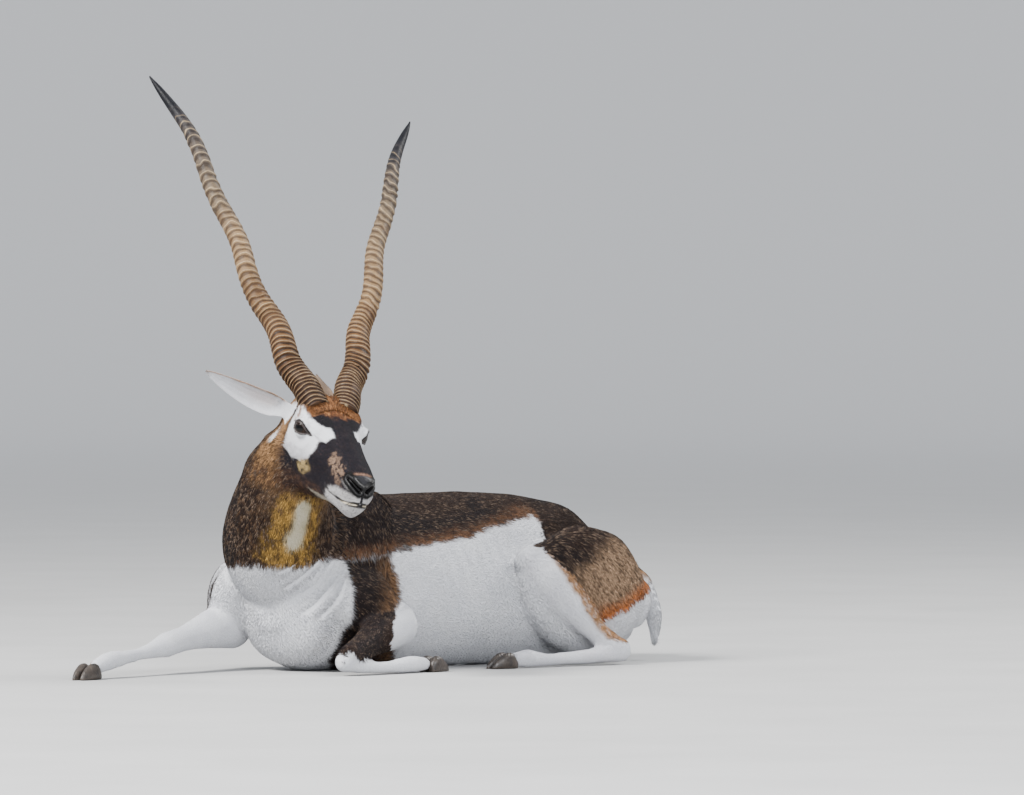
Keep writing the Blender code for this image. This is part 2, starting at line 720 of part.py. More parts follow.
def leg_zones():
    """Functions that make each leg node's share of the flesh, a given amount larger, in cutting order."""
    cannon = {"left": CANNON_LEFT, "right": CANNON_RIGHT}
    forearm = {"left": FOREARM_LEFT, "right": FOREARM_RIGHT}
    flips = {"left": np.array, "right": mirrored}
    tubes = {}
    for side, flip in flips.items():
        tubes["foreleg_foot_" + side] = (cannon[side], 0.005)
        tubes["hindleg_foot_" + side] = (bent(flip(HOCK_CANNON)), 0.005)
    for side, flip in flips.items():
        tubes["foreleg_lower_" + side] = (forearm[side], 0.006)
        tubes["hindleg_lower_" + side] = (bent(flip(SHANK)), 0.006)
    zones = {}
    for name, (stations, grow) in tubes.items():
        zones[name] = lambda more, s=stations, g=grow: tube("zone", s, LEFT, steps=9, sides=10, grow=g + more)
    for name, (centre, radii, lean) in UPPER_ZONES.items():
        zones[name] = lambda more, c=centre, r=radii, turn=lean: egg(c, r, turn, more)
    return zones


def grown(obj, amount=GAP):
    """Copy with every point moved out along its normal."""
    made = copy_of(obj, "grown")
    normals = [vert.normal.copy() for vert in made.data.vertices]
    for vert, normal in zip(made.data.vertices, normals):
        vert.co += normal * amount
    return made


# x, y, z of the lips' line in centimetres in the head's frame, from its front to the corner
LIP_LINE = (
    (16.9, 0.0, -4.55),
    (16.3, 1.0, -4.75),
    (15.1, 1.65, -4.9),
    (12.5, 2.1, -4.9),
    (10.3, 2.45, -4.75),
    (8.7, 2.6, -4.4),
)
LIP_DEPTH = 0.0035
LIP_GAP = 0.0011
NOSTRIL_AT = (16.1, 1.2, -2.1)
NOSTRIL_SIZE = (0.0075, 0.0042, 0.0030)


def lip_cutter():
    """Thin band that runs round the muzzle and cuts the line of the mouth."""
    half = np.array(LIP_LINE) / 100
    line = np.concatenate([half[::-1] * (1, -1, 1), half[1:]])
    knots = np.arange(len(line))
    line = spline(knots, line, np.linspace(0, knots[-1], 25))
    along = unit(np.gradient(line, axis=0))
    outward = unit(np.cross(along, (0.0, 0.0, 1.0)))
    rings = []
    for point, out in zip(line, outward):
        up = np.array([0.0, 0.0, LIP_GAP / 2])
        deep = out * LIP_DEPTH
        rings.append([point - deep - up, point + 3 * deep - up, point + 3 * deep + up, point - deep + up])
    return solid_from_rings("lips", in_head(np.array(rings)))


def opening_cutter(side):
    """Almond prism through which the eye shows."""
    angles = np.linspace(0, 2 * math.pi, 18, endpoint=False)
    c, s = superellipse(angles, 1.7)
    tilt = math.radians(14)
    wide = EYE_OPENING[0] * c
    tall = EYE_OPENING[1] * s
    x = EYE_AT[0] + wide * math.cos(tilt) + tall * math.sin(tilt)
    z = EYE_AT[2] - wide * math.sin(tilt) + tall * math.cos(tilt)
    rings = []
    for reach, spread in ((0.004, 0.7), (0.024, 1.15)):
        lean_x = EYE_AT[0] + (x - EYE_AT[0]) * spread + 0.10 * reach
        lean_z = EYE_AT[2] + (z - EYE_AT[2]) * spread + 0.12 * reach
        rings.append(np.stack([lean_x, np.full_like(x, side * (EYE_AT[1] + reach)), lean_z], -1))
    return solid_from_rings("opening", in_head(np.array(rings)))


def nostril_cutter(side):
    middle = np.array(NOSTRIL_AT) * (1, side, 1) / 100
    mesh = bpy.data.meshes.new("nostril")
    build = bmesh.new()
    bmesh.ops.create_uvsphere(build, u_segments=12, v_segments=8, radius=1.0)
    build.to_mesh(mesh)
    build.free()
    turn = Matrix.Rotation(math.radians(-38 * side), 4, "Z") @ Matrix.Rotation(math.radians(32), 4, "Y")
    size = Matrix.Diagonal((*NOSTRIL_SIZE, 1.0))
    mesh.transform(head_matrix() @ Matrix.Translation(Vector(middle)) @ turn @ size)
    obj = bpy.data.objects.new("nostril", mesh)
    bpy.context.scene.collection.objects.link(obj)
    return obj


def make_head():
    """The head with sockets, lids, nostrils and the lips' line, and beside it the two eyeballs."""
    head = solid_from_rings("head", in_head(head_rings()))
    radius = EYE_RADIUS * HEAD_SCALE
    cutters = [lip_cutter()]
    bulges = []
    for side, word in ((1, "left"), (-1, "right")):
        centre = in_head(np.array(EYE_AT) * (1, side, 1))
        ball("eye_" + word, centre, radius)
        bulges.append(ball("lid", centre, radius + LID_THICKNESS))
        cutters += [ball("socket", centre, radius + GAP), opening_cutter(side), nostril_cutter(side)]
    plain = copy_of(head, "plain_head")
    boolean(head, bulges, "UNION")
    boolean(head, cutters, "DIFFERENCE")
    keep_largest(head)
    return head, plain


def build_all():
    clear_scene()
    head, plain = make_head()
    around_head = grown(plain)
    around_ears = []
    bpy.data.objects.remove(plain)
    for side, word in ((1, "left"), (-1, "right")):
        ear = solid_from_rings("ear_" + word, in_head(ear_rings(word)))
        boolean(ear, [copy_of(around_head, "cut")], "DIFFERENCE")
        horn = solid_from_rings("horn_" + word, in_head(horn_rings(side)))
        boolean(horn, [copy_of(around_head, "cut")], "DIFFERENCE")
        keep_largest(ear)
        keep_largest(horn)
        around_ears.append(grown(ear))
    body = fused_body()
    claws = []
    for name, (heel, heading) in FEET.items():
        for side, word in ((1, "left"), (-1, "right")):
            rings = claw_rings(heel, heading, side)
            claws.append(solid_from_rings("hoof_" + name + "_" + word, rings))
    tail = tube("tail", bent(TAIL), LEFT, steps=9, sides=12)
    around_ends = [grown(end) for end in claws + [tail]]
    taken = []
    for name, zone in leg_zones().items():
        node = copy_of(body, name)
        boolean(node, [zone(0.0)], "INTERSECT")
        cut = [copy_of(other, "cut") for other in taken]
        cut += [copy_of(other, "cut") for other in around_ends + [around_head]]
        boolean(node, cut, "DIFFERENCE")
        keep_largest(node)
        taken.append(zone(GAP))
    neck = copy_of(body, "neck")
    boolean(neck, [half_space(0.0)], "INTERSECT")
    around_neck = [copy_of(other, "cut") for other in taken] + around_ears + [grown(around_head, GAP / 3)]
    boolean(neck, around_neck, "DIFFERENCE", "MANIFOLD")
    bpy.data.objects.remove(around_head)
    keep_largest(neck)
    torso = copy_of(body, "torso")
    boolean(torso, taken + around_ends + [half_space(-GAP)], "DIFFERENCE", "MANIFOLD")
    keep_largest(torso)
    bpy.data.objects.remove(body)
    for obj in bpy.data.objects:
        finish(obj)


build_all()
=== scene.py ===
"""Blackbuck buck lying on its chest, life size: the skin, coat, face, horns and hooves of the still model.

Metres, +Z up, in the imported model's frame: the floor is z = 0, +X runs along the trunk to the chest and +Y is
the animal's left. One skin stands for every flesh node. It is fused from fine tubes, has a fine head set into
it, and carries short tufts that lie along the coat. Skin and tufts take their colours from the same function.
"""

import math

import bmesh
import bpy
import numpy as np
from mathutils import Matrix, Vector
from mathutils.bvhtree import BVHTree


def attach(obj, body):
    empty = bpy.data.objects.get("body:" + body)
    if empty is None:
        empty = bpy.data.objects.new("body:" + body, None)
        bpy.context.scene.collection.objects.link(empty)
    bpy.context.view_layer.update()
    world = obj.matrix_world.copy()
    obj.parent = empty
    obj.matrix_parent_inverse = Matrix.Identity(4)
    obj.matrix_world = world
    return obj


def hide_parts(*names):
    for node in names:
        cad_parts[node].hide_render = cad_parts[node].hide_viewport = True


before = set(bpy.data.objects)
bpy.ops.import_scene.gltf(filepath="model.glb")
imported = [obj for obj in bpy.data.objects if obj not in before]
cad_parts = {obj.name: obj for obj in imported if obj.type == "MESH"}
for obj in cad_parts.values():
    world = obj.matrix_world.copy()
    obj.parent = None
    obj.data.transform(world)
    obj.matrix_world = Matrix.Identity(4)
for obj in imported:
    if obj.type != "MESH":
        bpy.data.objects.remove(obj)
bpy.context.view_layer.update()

SEED = 7
SIDE_WORDS = {1: "left", -1: "right"}

# The trunk curves to the left by this many degrees over this length.
SPINE_TURN = 30.0
SPINE_LENGTH = 0.70
BEND_RADIUS = SPINE_LENGTH / math.radians(SPINE_TURN)

HEAD_AT = (0.3886, 0.2161, 0.3692)
HEAD_YAW = 77.5
HEAD_PITCH = 15.7
HEAD_ROLL = -9.1
HEAD_SCALE = 1.07

EYE_RADIUS = 1.65
EYE_AT = (0.6, 4.10, 1.55)

HORN_BASE_RADIUS = 0.0194
HORN_BASE_AT = (-0.0285, 0.0282, 0.0524)
HORN_TIP_AT = (-0.4762, 0.2153, 0.3962)
HORN_TURNS = 3.78
HORN_SWAY = 0.0046
HORN_PHASE = 76.4
HORN_BOW = (0.0024, -0.0021)
HORN_LATE_BOW = (-0.0118, 0.0129)
HORN_LENGTH = 0.64
HORN_RING_PITCH = 0.0070
HORN_PITCH_GROWTH = 0.0125
HORN_RINGED_TO = 0.83
HORN_RIDGE = 0.055
# share of the horn's length, and its radius there as a share of the base's
HORN_TAPER = (
    (0.00, 1.03),
    (0.10, 0.99),
    (0.20, 0.91),
    (0.35, 0.79),
    (0.50, 0.71),
    (0.65, 0.63),
    (0.80, 0.52),
    (0.90, 0.39),
    (0.96, 0.24),
    (1.00, 0.06),
)

# how far the skin lies inside the solids
BODY_DEPTH = 0.0032
LIMB_DEPTH = 0.0024
LEG_DEPTH = 0.0016
HEAD_DEPTH = 0.0010
SKIN_VOXEL = 0.0046
# what lies on the floor stays this far above it
FLOOR_GAP = 0.0004


# Curves and frames.


def spline(knots, values, at):
    """Cubic through the values at the knots, with slopes from the neighbours' chords."""
    knots = np.asarray(knots, float)
    values = np.asarray(values, float)
    at = np.asarray(at, float)
    slope = np.gradient(values, knots, axis=0)
    i = np.clip(np.searchsorted(knots, at, side="right") - 1, 0, len(knots) - 2)
    width = knots[i + 1] - knots[i]
    f = (at - knots[i]) / width
    if values.ndim > 1:
        width = width[:, None]
        f = f[:, None]
    return (
        values[i] * (1 + 2 * f) * (1 - f) ** 2
        + values[i + 1] * f * f * (3 - 2 * f)
        + slope[i] * width * f * (1 - f) ** 2
        - slope[i + 1] * width * f * f * (1 - f)
    )


def unit(vectors):
    """Each vector over its own length."""
    return vectors / np.maximum(np.linalg.norm(vectors, axis=-1, keepdims=True), 1e-12)


def ease(low, high, values):
    """Smooth step: 0 below low, 1 above high."""
    f = np.clip((values - low) / (high - low), 0, 1)
    return f * f * (3 - 2 * f)


def hill(offset, width):
    """A Gaussian: 1 at no offset, 0.37 at the width."""
    return np.exp(-((offset / width) ** 2))


def circle(count):
    """Angles that go once round, the last one a step short of the first."""
    return np.linspace(0, 2 * math.pi, count, endpoint=False)


def folded(points):
    """The points with the right side laid over the left."""
    return np.asarray(points) * (1, 0, 1) + np.abs(points) * (0, 1, 0)


def bump(points, centre, radii):
    """Gaussian hill: exp of minus the squared distance over the squared radii."""
    return np.exp(-(((points - np.asarray(centre)) / np.asarray(radii)) ** 2).sum(-1))


def turned(degrees, axis):
    """Rotation matrix about x, y or z."""
    c = math.cos(math.radians(degrees))
    s = math.sin(math.radians(degrees))
    i, j = {"x": (1, 2), "y": (2, 0), "z": (0, 1)}[axis]
    made = np.eye(3)
    made[i, i] = made[j, j] = c
    made[i, j] = -s
    made[j, i] = s
    return made


HEAD_TURN = turned(HEAD_YAW, "z") @ turned(HEAD_PITCH, "y") @ turned(HEAD_ROLL, "x")


def from_head(points):
    """Centimetres in the head's frame (x to the nose, y left, z up) to the model's frame."""
    return np.asarray(points, float) * (HEAD_SCALE / 100) @ HEAD_TURN.T + HEAD_AT


def to_head(points):
    """The reverse of from_head."""
    return (np.asarray(points, float) - HEAD_AT) @ HEAD_TURN * (100 / HEAD_SCALE)


def to_world(points):
    """Bends (along, left, up) points round a centre that lies BEND_RADIUS to the animal's left."""
    points = np.asarray(points, float)
    turn = points[..., 0] / BEND_RADIUS
    reach = BEND_RADIUS - points[..., 1]
    return np.stack([reach * np.sin(turn), BEND_RADIUS - reach * np.cos(turn), points[..., 2]], -1)


def to_straight(points):
    """The (along, left, up) of points in the model's frame."""
    turn = np.arctan2(points[..., 0], BEND_RADIUS - points[..., 1])
    reach = np.hypot(points[..., 0], BEND_RADIUS - points[..., 1])
    return np.stack([turn * BEND_RADIUS, BEND_RADIUS - reach, points[..., 2]], -1)


def superellipse(angles, power):
    """Cosine and sine with their sizes raised to 2 over the power: a circle at 2, squarer above it."""
    c = np.cos(angles)
    s = np.sin(angles)
    return np.sign(c) * np.abs(c) ** (2 / power), np.sign(s) * np.abs(s) ** (2 / power)


# odd multipliers that turn a lattice cell's three numbers, and then the seed, into one scattered code
CELL_CODES = (73856093, 19349663, 83492791)
SEED_CODE = 2654435
LAST_CODE = 1274126177


def noise(points, size, seed):
    """Smooth value noise from 0 to 1: random numbers on a lattice of the given size, blended between."""
    at = np.asarray(points, float) / size
    low = np.floor(at).astype(np.int64)
    f = at - low
    f = f * f * (3 - 2 * f)
    total = np.zeros(len(at))
    for corner in range(8):
        step = np.array([corner & 1, corner >> 1 & 1, corner >> 2 & 1])
        code = np.bitwise_xor.reduce((low + step) * CELL_CODES, axis=1) ^ (seed * SEED_CODE)
        code = (code ^ (code >> 13)) * LAST_CODE & 0x7FFFFFFF
        value = (code >> 7 & 0xFFFF) / 0xFFFF
        total += value * np.prod(np.where(step, f, 1 - f), axis=1)
    return total


def crowded(low, high, count, crowds):
    """Positions from low to high, closer together near each crowd (centre, width, strength)."""
    fine = np.linspace(low, high, 4000)
    weight = np.ones_like(fine)
    for centre, width, strength in crowds:
        weight += strength * hill(fine - centre, width)
    total = np.r_[0, np.cumsum((weight[1:] + weight[:-1]) / 2)]
    return np.interp(np.linspace(0, total[-1], count), total, fine)


# Meshes.


def mesh_object(name, points, faces):
    """Object at the origin from arrays of points and of faces with the same number of corners."""
    mesh = bpy.data.meshes.new(name)
    faces = np.ascontiguousarray(faces, np.int32)
    corners = faces.shape[1]
    mesh.vertices.add(len(points))
    mesh.vertices.foreach_set("co", np.ascontiguousarray(points, np.float32).ravel())
    mesh.loops.add(faces.size)
    mesh.loops.foreach_set("vertex_index", faces.ravel())
    mesh.polygons.add(len(faces))
    mesh.polygons.foreach_set("loop_start", np.arange(0, faces.size, corners, dtype=np.int32))
    mesh.polygons.foreach_set("use_smooth", np.ones(len(faces), bool))
    mesh.update(calc_edges=True)
    obj = bpy.data.objects.new(name, mesh)
    bpy.context.scene.collection.objects.link(obj)
    return obj


def closed_grid(name, rings):
    """Closed surface through an array of rings (ring, point, 3), with a pole point at each end."""
    rings = np.asarray(rings, float)
    count, sides = rings.shape[:2]
    index = np.arange(count * sides).reshape(count, sides)
    after = np.roll(index, -1, axis=1)
    quads = np.stack([index[:-1], after[:-1], after[1:], index[1:]], -1).reshape(-1, 4)
    points = np.concatenate([rings.reshape(-1, 3), rings[:1].mean(1), rings[-1:].mean(1)])
    first = np.full(sides, count * sides)
    start = np.stack([first, after[0], index[0]], -1)
    end = np.stack([first + 1, index[-1], after[-1]], -1)
    triangles = np.concatenate([quads[:, [0, 1, 2]], quads[:, [0, 2, 3]], start, end])
    corner = points[triangles]
    volume = np.einsum("ij,ij->i", corner[:, 0], np.cross(corner[:, 1], corner[:, 2])).sum()
    if volume < 0:
        triangles = triangles[:, ::-1]
    return mesh_object(name, points, triangles)


def read_rows(items, field, width, kind=np.float32):
    """A mesh collection's field as an array with one row for each item."""
    found = np.empty(len(items) * width, kind)
    items.foreach_get(field, found)
    return found.reshape(-1, width)


def points_of(obj):
    """Each point's place."""
    return read_rows(obj.data.vertices, "co", 3).astype(float)


def normals_of(obj):
    """Each point's normal."""
    return read_rows(obj.data.vertices, "normal", 3).astype(float)


def triangles_of(obj):
    """The three points of each triangle."""
    obj.data.calc_loop_triangles()
    return read_rows(obj.data.loop_triangles, "vertices", 3, np.int32)


def edges_of(obj):
    """The two points of each edge."""
    return read_rows(obj.data.edges, "vertices", 2, np.int32)


def place(obj, points):
    """Moves the mesh's points."""
    obj.data.vertices.foreach_set("co", np.ascontiguousarray(points, np.float32).ravel())
    obj.data.update()


def neighbour_mean(edges, values, count):
    """Mean of the values at the points that share an edge with each point."""
    total = np.zeros((count, values.shape[1]))
    degree = np.bincount(edges.ravel(), minlength=count)
    for a, b in (edges.T, edges.T[::-1]):
        for column in range(values.shape[1]):
            total[:, column] += np.bincount(a, weights=values[b, column], minlength=count)
    return total / np.maximum(degree, 1)[:, None]


def set_colour(obj, colours):
    """Writes scene-linear colours to the attribute that the materials read."""
    layer = obj.data.color_attributes.new("Coat", "FLOAT_COLOR", "POINT")
    rgba = np.ones((len(colours), 4), np.float32)
    rgba[:, :3] = colours
    layer.data.foreach_set("color", rgba.ravel())


def set_bare(obj, values):
    """Writes how bare each point is to the attribute that the skin's material reads."""
    layer = obj.data.attributes.new("Bare", "FLOAT", "POINT")
    layer.data.foreach_set("value", np.ascontiguousarray(values, np.float32))


def set_uv(obj, places):
    """Writes one place on the unwrap for each corner of each face."""
    layer = obj.data.uv_layers.new(name="OFBake")
    layer.data.foreach_set("uv", places.astype(np.float32).ravel())


def apply_modifiers(obj):
    """Gives the object the mesh that its modifiers make."""
    graph = bpy.context.evaluated_depsgraph_get()
    graph.update()
    mesh = bpy.data.meshes.new_from_object(obj.evaluated_get(graph), depsgraph=graph)
    obj.modifiers.clear()
    obj.data = mesh


def joined(obj, others):
    """Union of closed meshes; the others are removed."""
    group = bpy.data.collections.new("joined")
    for other in others:
        group.objects.link(other)
    step = obj.modifiers.new("union", "BOOLEAN")
    step.operation = "UNION"
    step.operand_type = "COLLECTION"
    step.collection = group
    step.solver = "MANIFOLD"
    apply_modifiers(obj)
    for other in others:
        bpy.data.objects.remove(other)
    bpy.data.collections.remove(group)


# The body's tubes: the same stations as the solids.

# along, top, bottom, half width, height of the widest place
TRUNK = (
    (-0.336, 0.118, 0.080, 0.014, 0.100),
    (-0.329, 0.138, 0.050, 0.034, 0.095),
    (-0.306, 0.163, 0.020, 0.056, 0.095),
    (-0.270, 0.197, 0.000, 0.076, 0.100),
    (-0.220, 0.245, -0.004, 0.090, 0.105),
    (-0.150, 0.266, -0.004, 0.104, 0.100),
    (-0.060, 0.277, -0.004, 0.120, 0.095),
    (0.040, 0.279, -0.004, 0.126, 0.105),
    (0.130, 0.277, -0.004, 0.120, 0.120),
    (0.210, 0.276, -0.004, 0.112, 0.130),
    (0.285, 0.258, -0.004, 0.108, 0.125),
    (0.340, 0.228, 0.002, 0.102, 0.118),
    (0.384, 0.190, 0.030, 0.076, 0.112),
    (0.404, 0.155, 0.068, 0.032, 0.110),
)
# x, y, z, radius across, radius the other way
NECK = (
    (0.215, 0.018, 0.165, 0.084, 0.098),
    (0.296, 0.026, 0.172, 0.100, 0.110),
    (0.360, 0.042, 0.208, 0.095, 0.108),
    (0.385, 0.079, 0.258, 0.082, 0.095),
    (0.394, 0.113, 0.306, 0.070, 0.082),
    (0.390, 0.148, 0.344, 0.062, 0.068),
    (0.384, 0.172, 0.364, 0.056, 0.055),
)
NECK_TURN = (15.0, 20.0, 34.0, 52.0, 66.0, 74.0, 77.0)
# the next rows are (along, left, up, radius across, radius the other way)
SHOULDER_BLADE = (
    (0.200, 0.048, 0.258, 0.022, 0.040),
    (0.235, 0.068, 0.215, 0.030, 0.058),
    (0.275, 0.080, 0.165, 0.036, 0.062),
    (0.295, 0.084, 0.125, 0.036, 0.050),
)
UPPER_ARM_LEFT = (
    (0.330, 0.084, 0.135, 0.036, 0.046),
    (0.285, 0.106, 0.108, 0.038, 0.054),
    (0.245, 0.117, 0.078, 0.034, 0.042),
)
UPPER_ARM_RIGHT = (
    (0.345, -0.078, 0.158, 0.036, 0.044),
    (0.368, -0.094, 0.128, 0.042, 0.050),
    (0.366, -0.106, 0.086, 0.038, 0.044),
)
HAUNCH = (
    (-0.052, 0.132, 0.172, 0.018, 0.022),
    (-0.080, 0.126, 0.160, 0.034, 0.052),
    (-0.130, 0.112, 0.138, 0.048, 0.092),
    (-0.190, 0.095, 0.120, 0.054, 0.108),
    (-0.240, 0.080, 0.110, 0.054, 0.102),
    (-0.285, 0.064, 0.100, 0.045, 0.072),
    (-0.312, 0.054, 0.094, 0.030, 0.046),
)
SHANK = (
    (-0.062, 0.136, 0.176, 0.024, 0.026),
    (-0.100, 0.141, 0.138, 0.028, 0.034),
    (-0.150, 0.147, 0.090, 0.024, 0.030),
    (-0.195, 0.152, 0.050, 0.018, 0.021),
    (-0.228, 0.154, 0.026, 0.019, 0.022),
)
HOCK_CANNON = (
    (-0.236, 0.155, 0.024, 0.019, 0.021),
    (-0.195, 0.160, 0.018, 0.0140, 0.0150),
    (-0.130, 0.166, 0.014, 0.0120, 0.0125),
    (-0.060, 0.170, 0.013, 0.0120, 0.0125),
    (-0.030, 0.171, 0.015, 0.0155, 0.0155),
    (-0.004, 0.171, 0.014, 0.0130, 0.0130),
)
TAIL = (
    (-0.320, 0.000, 0.150, 0.016, 0.014),
    (-0.342, 0.004, 0.130, 0.019, 0.014),
    (-0.356, 0.014, 0.098, 0.020, 0.013),
    (-0.360, 0.024, 0.064, 0.017, 0.011),
    (-0.358, 0.030, 0.034, 0.010, 0.008),
)
# the next rows are (x, y, z, radius across, radius the other way)
FOREARM_LEFT = (
    (0.205, 0.139, 0.074, 0.036, 0.040),
    (0.255, 0.167, 0.062, 0.031, 0.034),
    (0.310, 0.198, 0.042, 0.023, 0.024),
    (0.352, 0.222, 0.028, 0.022, 0.023),
)
CANNON_LEFT = (
    (0.360, 0.224, 0.022, 0.019, 0.018),
    (0.325, 0.226, 0.014, 0.0125, 0.0125),
    (0.270, 0.216, 0.012, 0.0115, 0.0115),
    (0.222, 0.205, 0.014, 0.0150, 0.0150),
    (0.190, 0.196, 0.013, 0.0125, 0.0125),
)
FOREARM_RIGHT = (
    (0.385, -0.064, 0.070, 0.036, 0.040),
    (0.440, -0.040, 0.066, 0.031, 0.033),
    (0.505, -0.012, 0.054, 0.022, 0.023),
    (0.556, 0.010, 0.046, 0.0215, 0.022),
)
CANNON_RIGHT = (
    (0.560, 0.012, 0.045, 0.020, 0.020),
    (0.600, 0.029, 0.038, 0.0130, 0.0135),
    (0.655, 0.052, 0.031, 0.0120, 0.0125),
    (0.704, 0.072, 0.026, 0.0155, 0.0160),
    (0.732, 0.083, 0.019, 0.0130, 0.0135),
)
LEFT = (0.0, 1.0, 0.0)
# the head as a tube, for the coat's lie only: x, y, z in centimetres from nose to nape and two radii
HEAD_LINE = (
    (17.0, 0.0, -3.4, 1.6, 1.9),
    (13.0, 0.0, -3.3, 2.7, 3.8),
    (8.0, 0.0, -2.6, 3.0, 4.7),
    (3.0, 0.0, -2.0, 4.6, 5.9),
    (-1.0, 0.0, -1.6, 5.2, 6.9),
    (-5.0, 0.0, -1.4, 5.0, 6.4),
    (-8.5, 0.0, -1.2, 3.9, 5.0),
)
# root and tip of each ear in centimetres in the head's frame, and the way its cup opens
EARS = {
    "left": ((-6.2, 3.4, 3.6), (-17.0, 3.4, 5.4), (0.00, 0.94, 0.34)),
    "right": ((-4.8, -4.6, 2.2), (-9.8, -17.1, 5.1), (0.80, -0.18, -0.35)),
}

EAR_WIDTH = 0.0218
EAR_SAG = {"left": 0.0, "right": 0.0075}


def bent(stations):
    """Stations given along, left and up, bent with the spine."""
    stations = np.asarray(stations, float)
    return np.c_[to_world(stations[:, :3]), stations[:, 3:]]


def mirrored(stations):
    """The same stations on the right side."""
    stations = np.array(stations, float)
    stations[:, 1] *= -1
    return stations


def neck_sides():
    """The way across the neck at each station: it turns with the neck."""
    turn = np.radians(NECK_TURN)
    return np.stack([-np.sin(turn), np.cos(turn), 0 * turn], -1)


def head_tube():
    """The head's line in the model's frame."""
    line = np.asarray(HEAD_LINE)
    return np.c_[from_head(line[:, :3]), line[:, 3:] * HEAD_SCALE / 100]


def ear_tube(word):
    """Straight tube along an ear, for the coat's lie only."""
    base, tip, _ = (np.array(row) for row in EARS[word])
    share = np.linspace(0, 1, 5)[:, None]
    return np.c_[from_head(base + (tip - base) * share), 0.024 - 0.016 * share, 0.012 - 0.006 * share]


def trunk_tube():
    """The trunk's middle line with half its width and half its height."""
    rows = np.asarray(TRUNK)
    middle = np.c_[rows[:, 0], 0 * rows[:, 0], rows[:, 4]]
    return np.c_[to_world(middle), rows[:, 3], (rows[:, 1] - rows[:, 2]) / 2]


def all_tubes():
    """Name, stations, side hint and the coat's depth for every length of flesh."""
    left = dict(depth=LEG_DEPTH, hint=LEFT)
    tubes = {
        "trunk": dict(stations=trunk_tube(), hint=LEFT, depth=BODY_DEPTH),
        "neck": dict(stations=np.array(NECK), hint=neck_sides(), depth=BODY_DEPTH),
        "arm_left": dict(stations=bent(UPPER_ARM_LEFT), hint=LEFT, depth=BODY_DEPTH),
        "arm_right": dict(stations=bent(UPPER_ARM_RIGHT), hint=LEFT, depth=BODY_DEPTH),
        "forearm_left": dict(stations=np.array(FOREARM_LEFT), hint=(-0.5, 0.87, 0), depth=LIMB_DEPTH),
        "forearm_right": dict(stations=np.array(FOREARM_RIGHT), hint=(-0.4, 0.92, 0), depth=LIMB_DEPTH),
        "cannon_left": dict(stations=np.array(CANNON_LEFT), hint=(-0.2, 0.98, 0), depth=LEG_DEPTH),
        "cannon_right": dict(stations=np.array(CANNON_RIGHT), hint=(-0.4, 0.92, 0), depth=LEG_DEPTH),
        "tail": dict(stations=bent(TAIL), **left),
        "head": dict(stations=head_tube(), hint=HEAD_TURN[:, 1], depth=HEAD_DEPTH),
        "ear_left": dict(stations=ear_tube("left"), hint=HEAD_TURN[:, 2], depth=0.0),
        "ear_right": dict(stations=ear_tube("right"), hint=HEAD_TURN[:, 2], depth=0.0),
    }
    for side, flip in (("left", np.array), ("right", mirrored)):
        tubes["blade_" + side] = dict(stations=bent(flip(SHOULDER_BLADE)), hint=LEFT, depth=BODY_DEPTH)
        tubes["haunch_" + side] = dict(stations=bent(flip(HAUNCH)), hint=LEFT, depth=BODY_DEPTH)
        tubes["shank_" + side] = dict(stations=bent(flip(SHANK)), hint=LEFT, depth=LIMB_DEPTH)
        tubes["hind_cannon_" + side] = dict(stations=bent(flip(HOCK_CANNON)), **left)
    return tubes


TUBES = all_tubes()
NAMES = list(TUBES)
# the kind and the side of each tube
KINDS = np.array([name.split("_")[0] for name in NAMES])
FLANKS = np.array([name.split("_")[-1] for name in NAMES])


def path_of(tube, steps):
    """Path, radii and frame of a tube at evenly spaced places."""
    stations = tube["stations"]
    chord = np.r_[0, np.cumsum(np.linalg.norm(np.diff(stations[:, :3], axis=0), axis=1))]
    at = np.linspace(0, chord[-1], steps)
    path = spline(chord, stations[:, :3], at)
    radii = spline(chord, stations[:, 3:5], at)
    along = unit(np.gradient(path, at, axis=0))
    hint = np.asarray(tube["hint"], float)
    if hint.ndim > 1:
        hint = spline(chord, hint, at)
    across = unit(hint - (hint * along).sum(-1, keepdims=True) * along)
    return path, radii, along, across, np.cross(along, across)


def tube_rings(tube, steps=56, sides=44):
    """Rings of an elliptic tube with round ends, drawn in by the coat's depth."""
    path, radii, along, across, other = path_of(tube, steps)
    radii = radii - tube["depth"]
    ends = np.radians([87, 76, 64, 52, 40, 27, 13])
    caps = len(ends)
    lift = np.sin(ends)[:, None]
    shrink = np.cos(ends)[:, None]
    reach = radii.min(axis=1)
    path = np.r_[path[0] - along[0] * reach[0] * lift, path, path[-1] + along[-1] * reach[-1] * lift[::-1]]
    radii = np.r_[radii[0] * shrink, radii, radii[-1] * shrink[::-1]]
    across = np.r_[np.repeat(across[:1], caps, 0), across, np.repeat(across[-1:], caps, 0)]
    other = np.r_[np.repeat(other[:1], caps, 0), other, np.repeat(other[-1:], caps, 0)]
    angles = circle(sides)
    return (
        path[:, None]
        + across[:, None] * (radii[:, :1] * np.cos(angles))[..., None]
        + other[:, None] * (radii[:, 1:] * np.sin(angles))[..., None]
    )


def trunk_rings(steps=110, sides=84):
    """Rounded box sections from the trunk's table, drawn in by the coat's depth and bent with the spine."""
    knots = [row[0] for row in TRUNK]
    wave = 0.5 - 0.5 * np.cos(np.linspace(0, math.pi, steps))
    along = knots[0] + (knots[-1] - knots[0]) * (0.6 * wave + 0.4 * np.linspace(0, 1, steps))
    top, bottom, half, widest = spline(knots, [row[1:] for row in TRUNK], along).T
    angles = circle(sides)
    c, s = superellipse(angles, 2.2)
    reach = np.where(s > 0, (top - widest - BODY_DEPTH)[:, None], (widest - bottom - BODY_DEPTH)[:, None])
    up = widest[:, None] + reach * s
    left = (half - BODY_DEPTH)[:, None] * c
    inner = along + BODY_DEPTH * np.linspace(1, -1, steps)
    return to_world(np.stack([np.broadcast_to(inner[:, None], up.shape), left, up], -1))


